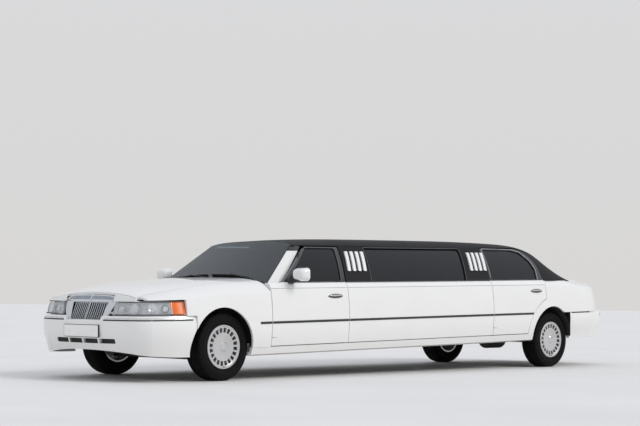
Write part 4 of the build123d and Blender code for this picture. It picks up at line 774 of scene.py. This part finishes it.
for hand, turn in reversed(hands):
    for index in range(1, grilleLook["bars"]):
        y = turn * index * grilleLook["spacing"]
        out = grilleLook["prow"] * (1 - abs(y) / 0.25) - 0.012
        bar = barAt(y, grilleLook["barWidth"], grilleLook["barDepth"], out)
        finish(f"grilleBar{hand.title()}{index}", bar, chrome)
finish("grilleCentreBar", barAt(0, 0.017, 0.024, 0.006), chrome)
block("grilleBack", blackRubber, onGrille(0, 0.108, -0.0405), grilleOut, 0.50, 0.180, 0.002, 0.01,
      up=grilleUp)
print("grille ready")


# Front bumper: groove with a bright strip and dark bars in the air slots. Plates front and rear

bumperLook = {"groove": 0.611, "strip": 0.628, "slotZ": 0.409, "slotY": (-0.339, -0.113, 0.113, 0.339),
              "slotWidth": 0.206}
plateLook = {"width": 0.520, "height": 0.112, "thick": 0.0022, "corner": 0.008}
for hand, turn in hands:
    groove = roundEnd(["front_bumper"], bumperLook["groove"], turn, 24, 87)
    ribbon("bumperGroove" + hand.title(), groove, 0.014, 0.0018, blackRubber)
    strip = roundEnd(["front_bumper"], bumperLook["strip"], turn, 25, 87)
    ribbon("bumperStrip" + hand.title(), strip, 0.010, 0.003, satinMetal)
for index, y in enumerate(bumperLook["slotY"]):
    outer = facing(["front_bumper"], y, bumperLook["slotZ"] + 0.030)
    back = outer[0] - bodyFore * 0.040 - bodyUp * 0.030
    slotWidth = bumperLook["slotWidth"]
    block(f"slotBack{index}", blackRubber, back, bodyFore, slotWidth, 0.044, 0.003, 0.008)
    for title, row in (("Low", -0.010), ("High", 0.010)):
        block(f"slotBar{index}{title}", darkPlastic, back + bodyFore * 0.008 + bodyUp * row, bodyFore,
              slotWidth, 0.004, 0.010, 0.001)
plateSpots = (("front", "front_bumper", 1, 0.505), ("rear", "trunk_lid", -1, 0.668))
for title, node, turn, z in plateSpots:
    middle, edge = facing([node], 0, z, turn), facing([node], 0.25, z, turn)
    out = turn * bodyFore
    base = middle[0] if (middle[0] - edge[0]).dot(out) > 0 else edge[0]
    lean = middle[1] if turn < 0 else out
    body = "root" if turn > 0 else "trunk_lid"
    width, height, thick, corner = plateLook.values()
    block(title + "PlateHolder", blackRubber, base - lean * 0.010, lean, width + 0.012, height + 0.010, 0.014,
          corner, edge=0.002, body=body)
    block(title + "Plate", plateWhite, base + lean * 0.004, lean, width, height, thick, corner, edge=0.0008,
          body=body)
    for hand, side in reversed(hands):
        dome(f"{title}PlateScrew{hand.title()}", satinMetal, body,
             base + lean * 0.0062 + bodyLeft * side * 0.17, lean, 0.010, 0.010, 0.002, 8)
print("bumper ready")


# Tail: lamp bands, reflectors, bright bar over the plate, lock, bumper strip

tailLook = {"bar": 0.764, "barHalf": 0.36, "strip": 0.515, "stripEnd": 56, "lock": 0.80}
# height, width and finish of the bands across each tail lamp
tailBands = ((0.588, 0.006, chrome), (0.672, 0.034, plateWhite), (0.700, 0.004, chrome),
             (0.645, 0.004, chrome), (0.765, 0.004, chrome))
for hand, turn in hands:
    for index, (z, width, finishMaterial) in enumerate(tailBands):
        path = [p for p in roundEnd(["tail_lamps"], z, turn, 5, 80, turn=-1, step=1.5) if abs(p[0].y) > 0.612]
        path = [p for p in path if p[1].dot(-bodyFore) > 0.15]
        ribbon(f"tailBand{hand.title()}{index}", path, width, 0.0016, finishMaterial)
    place, normal = roundEnd(["rear_bumper"], 0.385, turn, 42, 42, turn=-1)[0]
    block("rearReflector" + hand.title(), redLens, place - normal * 0.001, normal, 0.13, 0.030, 0.005, 0.006,
          edge=0.002)
look = tailLook
bar = [facing(["trunk_lid"], y, look["bar"], -1) for y in span(-look["barHalf"], look["barHalf"], 0.04)]
ribbon("trunkBar", [p for p in bar if p], 0.030, 0.009, chrome, "trunk_lid")
dome("trunkLock", satinMetal, "trunk_lid", *facing(["trunk_lid"], 0, look["lock"], -1), 0.026, 0.026, 0.004)
strip = roundEnd(["rear_bumper"], look["strip"], -1, look["stripEnd"], 0, turn=-1)
strip += roundEnd(["rear_bumper"], look["strip"], 1, 2.5, look["stripEnd"], turn=-1)
ribbon("rearBumperStrip", strip, 0.026, 0.005, blackRubber)
print("tail ready")


# Windscreen wipers

wiperLook = {"bladeWidth": 0.010, "bladeHeight": 0.013, "armWidth": 0.014}
# pivot y, blade from y to y
wipers = (("Left", 0.56, 0.50, -0.06), ("Right", -0.08, -0.12, -0.64))
for title, pivot, start, end in wipers:
    blade = []
    for y in span(start, end, 0.04):
        found = facing(["windshield"], y, 1.035 - 0.05 * (y / 0.7) ** 2)
        if found:
            blade.append((found[0] + found[1] * 0.006, found[1]))
    ribbon("wiperBlade" + title, blade, wiperLook["bladeWidth"], wiperLook["bladeHeight"], blackRubber,
           sunk=0.005)
    arm = []
    target = blade[len(blade) // 2][0]
    feet = [facing(["windshield"], pivot, z) for z in span(0.96, 1.08, 0.005)]
    root = next(found for found in feet if found)
    for t in span(0, 1, 0.1):
        mix = root[0].lerp(target, t)
        found = facing(["windshield"], mix.y, along(mix)[1]) or root
        arm.append((found[0] + found[1] * (0.010 + 0.010 * t), found[1]))
    ribbon("wiperArm" + title, arm, wiperLook["armWidth"], 0.006, blackRubber, sunk=0.003)
    dome("wiperPivot" + title, darkPlastic, "root", *root, 0.034, 0.034, 0.018)


# Mirrors: a rounded shell on a dark foot, with the glass in a gasket on its back

mirrorLook = {"middle": (-0.935, 1.052, 1.046), "size": (0.100, 0.196, 0.136), "edge": 0.042,
              "noseShare": 0.74, "glass": (0.156, 0.100)}
# foot, from the door outwards: y, middle x, length, lower and upper z
mirrorFoot = ((0.932, -0.925, 0.075, 0.950, 0.984), (0.975, -0.928, 0.060, 0.964, 0.990),
              (1.030, -0.932, 0.052, 0.974, 0.998))

for hand, turn in hands:
    body = "front_door_" + hand
    middle, size = mirrorLook["middle"], mirrorLook["size"]
    shell = bmesh.new()
    bmesh.ops.create_cube(shell, size=1)
    bmesh.ops.scale(shell, vec=size, verts=shell.verts)
    front = [v for v in shell.verts if v.co.x > 0]
    bmesh.ops.scale(shell, vec=(1, mirrorLook["noseShare"], mirrorLook["noseShare"]), verts=front)
    curved = [e for e in shell.edges if any(v.co.x > 0 for v in e.verts)]
    bmesh.ops.bevel(shell, geom=curved, offset=mirrorLook["edge"], segments=7, profile=0.5, affect="EDGES",
                    material=-1)
    stand = Matrix((bodyFore, turn * bodyLeft, bodyUp)).transposed().to_4x4()
    place = at(middle[0], turn * middle[1], middle[2])
    bmesh.ops.transform(shell, matrix=Matrix.Translation(place) @ stand, verts=shell.verts)
    shell = finish("mirrorShell" + hand.title(), shell, whitePaint, body, crease=50)
    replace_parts(shell, "mirror_" + hand)
    rings = []
    for y, x, length, low, high in mirrorFoot:
        ends = (x - length / 2, x + length / 2)
        corners = ((ends[0], low), (ends[1], low), (ends[1], high), (ends[0], high))
        rings.append([at(cornerX, turn * y, z) for cornerX, z in corners])
    finish("mirrorFoot" + hand.title(), sweep(rings), darkPlastic, body)
    back = hit(["mirror_" + hand], at(-1.4, turn * 1.062, 1.043), bodyFore)[0]
    width, height = mirrorLook["glass"]
    block("mirrorGasket" + hand.title(), blackRubber, back + bodyFore * 0.004, -bodyFore, width + 0.012,
          height + 0.012, 0.005, 0.034, edge=0.002, body=body)
    block("mirrorGlass" + hand.title(), chrome, back - bodyFore * 0.0008, -bodyFore, width, height, 0.0015,
          0.030, body=body)
print("wipers and mirrors ready")


# Wheel arch liners, half round over each wheel

# place, middle x and z, radius, from y to y, first and last angle from straight ahead
archLiners = (
    ("front", 0.020, 0.330, 0.436, 0.56, 0.90, -6, 186),
    ("rear", -5.480, 0.252, 0.420, 0.63, 0.86, 0, 90),
    ("tail", -5.480, 0.252, 0.386, 0.63, 0.962, 92, 176),
)
linerWall = 0.003
for end, x, z, reach, inner, outer, first, last in archLiners:
    for hand, turn in hands:
        rings = []
        for angle in span(first, last, 5):
            fore, rise = cos(radians(angle)), sin(radians(angle))
            section = ((inner, reach), (outer, reach), (outer, reach + linerWall), (inner, reach + linerWall))
            rings.append([at(x + r * fore, turn * y, z + r * rise) for y, r in section])
        finish(f"{end}Liner{hand.title()}", sweep(rings), darkPlastic)
# upright wall behind the rear wheel, against the end of the bumper
for hand, turn in hands:
    block("tailWall" + hand.title(), darkPlastic, at(-5.868, turn * 0.797, 0.415), bodyFore, 0.33, 0.29,
          linerWall, 0.002)
print("arch liners ready")


# Seats: padded cushions, swollen by cloth with pressure, their sewn channels pressed in afterwards

cushionLook = {"voxel": 0.013, "pressure": 4.0, "frames": 20, "cap": 0.024, "start": 0.010,
               "channelDepth": 0.007, "channelReach": 0.014, "channels": 2, "corner": 0.045, "fill": 0.75}
seatY, benchPitch, sidePitch = 0.380, 0.462, 0.482
# name, middle x, y, z of its face, length across, height of its face, thickness, lean of its face from level
cushions = [(f"frontCushion{hand.title()}", -1.705, turn * seatY, 0.553, 0.520, 0.520, 0.150, -3.3)
            for hand, turn in hands]
cushions += [(f"frontBack{hand.title()}", -2.078, turn * seatY, 0.885, 0.510, 0.520, 0.105, 75.5)
             for hand, turn in hands]
cushions += [(f"sideCushion{index}", -2.945 - sidePitch * index, -0.590, 0.606, 0.474, 0.512, 0.140, 0)
             for index in range(3)]
for index, y in enumerate((benchPitch, 0.0, -benchPitch)):
    cushions.append((f"benchCushion{index}", -4.650, y, 0.606, 0.456, 0.520, 0.150, -3.3))
    cushions.append((f"benchBack{index}", -5.045, y, 0.930, 0.456, 0.500, 0.105, 74.5))


def cushionFrame(row):
    # middle, and the directions across, up the face and out of it
    lean = radians(row[7])
    facing = bodyUp * cos(lean) + bodyFore * sin(lean)
    rise = bodyUp * sin(lean) - bodyFore * cos(lean)
    return at(*row[1:4]), bodyLeft, rise, facing


def cushionBlock(row):
    # the block that swells, smaller than the cushion all round
    middle, side, rise, facing = cushionFrame(row)
    across, high, thick = [length - 2 * cushionLook["start"] for length in row[4:7]]
    corner = cushionLook["corner"]
    return slab(middle - facing * thick / 2, facing, across, high, thick, corner, up=rise, edge=corner)


def pressChannels(mesh, row):
    # sewn lines up the face and a seam round the edge
    across, high, thick = row[4:7]
    middle, side, rise, facing = cushionFrame(row)
    reach, depth, channels = [cushionLook[key] for key in ("channelReach", "channelDepth", "channels")]
    lines = [across * ((index + 1) / (channels + 1) - 0.5) for index in range(channels)]
    for vert in mesh.vertices:
        place = vert.co - middle
        level = place.dot(facing)
        if level > 0:
            near = min(abs(place.dot(side) - line) for line in lines)
            if near < reach:
                vert.co -= facing * depth * (1 - near / reach) ** 2
        seam = abs(level - thick * 0.18)
        if seam < reach * 0.7:
            inward = middle + facing * level - vert.co
            vert.co += inward.normalized() * depth * 0.6 * (1 - seam / (reach * 0.7))


def swell(pieces):
    # simulates all the cushions together: each keeps the shape it reached, but no point moves past the cap
    scene = bpy.context.scene
    graph = bpy.context.evaluated_depsgraph_get()
    for piece in pieces:
        remesh = piece.modifiers.new("remesh", "REMESH")
        remesh.mode = "VOXEL"
        remesh.voxel_size = cushionLook["voxel"]
    graph.update()
    for piece in pieces:
        piece.data = bpy.data.meshes.new_from_object(piece.evaluated_get(graph))
        piece.modifiers.clear()
    starts = [[vert.co.copy() for vert in piece.data.vertices] for piece in pieces]
    for piece in pieces:
        cloth = piece.modifiers.new("cloth", "CLOTH")
        cloth.settings.use_pressure = True
        cloth.settings.uniform_pressure_force = cushionLook["pressure"]
        cloth.settings.effector_weights.gravity = 0
        cloth.point_cache.frame_start = 1
        cloth.point_cache.frame_end = cushionLook["frames"]
    for step in range(1, cushionLook["frames"] + 1):
        scene.frame_set(step)
    graph = bpy.context.evaluated_depsgraph_get()
    for piece, start in zip(pieces, starts):
        puffed = bpy.data.meshes.new_from_object(piece.evaluated_get(graph))
        for vert, origin in zip(puffed.vertices, start):
            move = vert.co - origin
            if move.length > cushionLook["cap"]:
                vert.co = origin + move.normalized() * cushionLook["cap"]
        piece.data = puffed
    for piece in pieces:
        piece.modifiers.clear()
    scene.frame_set(1)


padded = [finish(row[0], cushionBlock(row), seatLeather, crease=60) for row in cushions]
swell(padded)
for piece, row in zip(padded, cushions):
    pressChannels(piece.data, row)
    for face in piece.data.polygons:
        face.use_smooth = True
    smooth = piece.modifiers.new("smooth", "SUBSURF")
    smooth.levels = smooth.render_levels = 1
    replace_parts(piece, "front_seats" if row[0].startswith("front") else "lounge_seats")

# hard bases that carry the cushions
baseFoot = 0.366
# name, middle x and y, width across the car, length and height
seatBases = [(f"frontBase{hand.title()}", -1.760, turn * seatY, 0.440, 0.500, 0.105) for hand, turn in hands]
seatBases.append(("sideBase", -3.425, -0.590, 0.500, 1.430, 0.166))
seatBases.append(("benchBase", -4.690, 0.0, 1.380, 0.540, 0.160))
for name, x, y, across, length, height in seatBases:
    piece = block(name, softTrim, at(x, y, baseFoot), bodyUp, across, length, height, 0.02, up=bodyFore,
                  edge=0.01)
    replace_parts(piece, "front_seats" if name.startswith("front") else "lounge_seats")
print("seats ready")


# Inside: door trims with an arm rest and a pull

# door, middle x, length, middle z, height
doorTrims = (("front_door_", -1.30, 0.74, 0.60, 0.50), ("rear_door_", -4.74, 0.50, 0.63, 0.46))
for hand, turn in hands:
    for door, x, width, z, height in doorTrims:
        body = door + hand
        inward = -turn * bodyLeft
        title = door.replace("_door_", "") + hand.title()
        base = hit([body], at(x, turn * 0.4, z), turn * bodyLeft)[0] + turn * bodyLeft * 0.003
        block(title + "Trim", softTrim, base, inward, width, height, 0.016, 0.03, edge=0.006, body=body)
        block(title + "ArmRest", seatLeather, base + bodyUp * 0.05, inward, width * 0.72, 0.060, 0.058, 0.02,
              edge=0.015, body=body)
        block(title + "Pull", satinMetal, base + bodyUp * 0.15 + bodyFore * 0.12, inward, 0.11, 0.03, 0.022,
              0.008, edge=0.004, body=body)
print("inside ready")


# Stage

stageLook = {
    "cameraFromAxle": (11.3767, 12.8520, 0.8780),  # from the front axle's middle, on the ground
    "yaw": 223.1625,
    "pitch": 2.7404,
    "roll": 0.5951,
    "lens": 93.7586,
    "floorColour": (0.78, 0.775, 0.765),
    "floorReach": 70,
    "sky": (0.90, 0.93, 1.0),
    "skyStrength": 0.80,
    "keyStrength": 1.15,
    "keyAngle": 22,
    "keyTurn": (52, 0, 205),  # degrees: how far it leans, and where it comes from
}


def placeCamera(look):
    data = bpy.data.cameras.new("camera")
    data.lens = look["lens"]
    data.sensor_width = 36
    data.clip_end = 300
    camera = linked("camera", data)
    turn = Euler((radians(90 + look["pitch"]), 0, radians(look["yaw"] - 90))).to_matrix()
    roll = Matrix.Rotation(radians(look["roll"]), 3, "Z")
    place = Matrix.Translation(axleGround + Vector(look["cameraFromAxle"]))
    camera.matrix_world = place @ (turn @ roll).to_4x4()
    bpy.context.scene.camera = camera


def layFloor(look):
    shape = bmesh.new()
    bmesh.ops.create_grid(shape, x_segments=1, y_segments=1, size=look["floorReach"])
    paleFloor = surface("paleFloor", look["floorColour"], 0.75, patch=0.03, patchScale=0.6, grain=0.1)
    pieceFrom("floor", shape, paleFloor, 35)


def lightUp(look):
    # pale sky all round, brighter overhead than at the horizon, and one broad sun
    world = bpy.data.worlds.new("paleSky")
    bpy.context.scene.world = world
    world.use_nodes = True
    tree = world.node_tree
    background = tree.nodes["Background"]
    place = tree.nodes.new("ShaderNodeTexCoord")
    apart = tree.nodes.new("ShaderNodeSeparateXYZ")
    ramp = tree.nodes.new("ShaderNodeValToRGB")
    low, high = ramp.color_ramp.elements
    low.position, high.position = 0.0, 0.6
    low.color = (0.86, 0.85, 0.84, 1)
    high.color = (*look["sky"], 1)
    tree.links.new(place.outputs["Generated"], apart.inputs["Vector"])
    tree.links.new(apart.outputs["Z"], ramp.inputs["Fac"])
    tree.links.new(ramp.outputs["Color"], background.inputs["Color"])
    background.inputs["Strength"].default_value = look["skyStrength"]
    data = bpy.data.lights.new("key", "SUN")
    data.energy = look["keyStrength"]
    data.angle = radians(look["keyAngle"])
    data.color = (1.0, 0.975, 0.94)
    linked("key", data).rotation_euler = [radians(a) for a in look["keyTurn"]]


placeCamera(stageLook)
layFloor(stageLook)
lightUp(stageLook)
print("stage ready")

bpy.context.scene.view_settings.view_transform = "Standard"
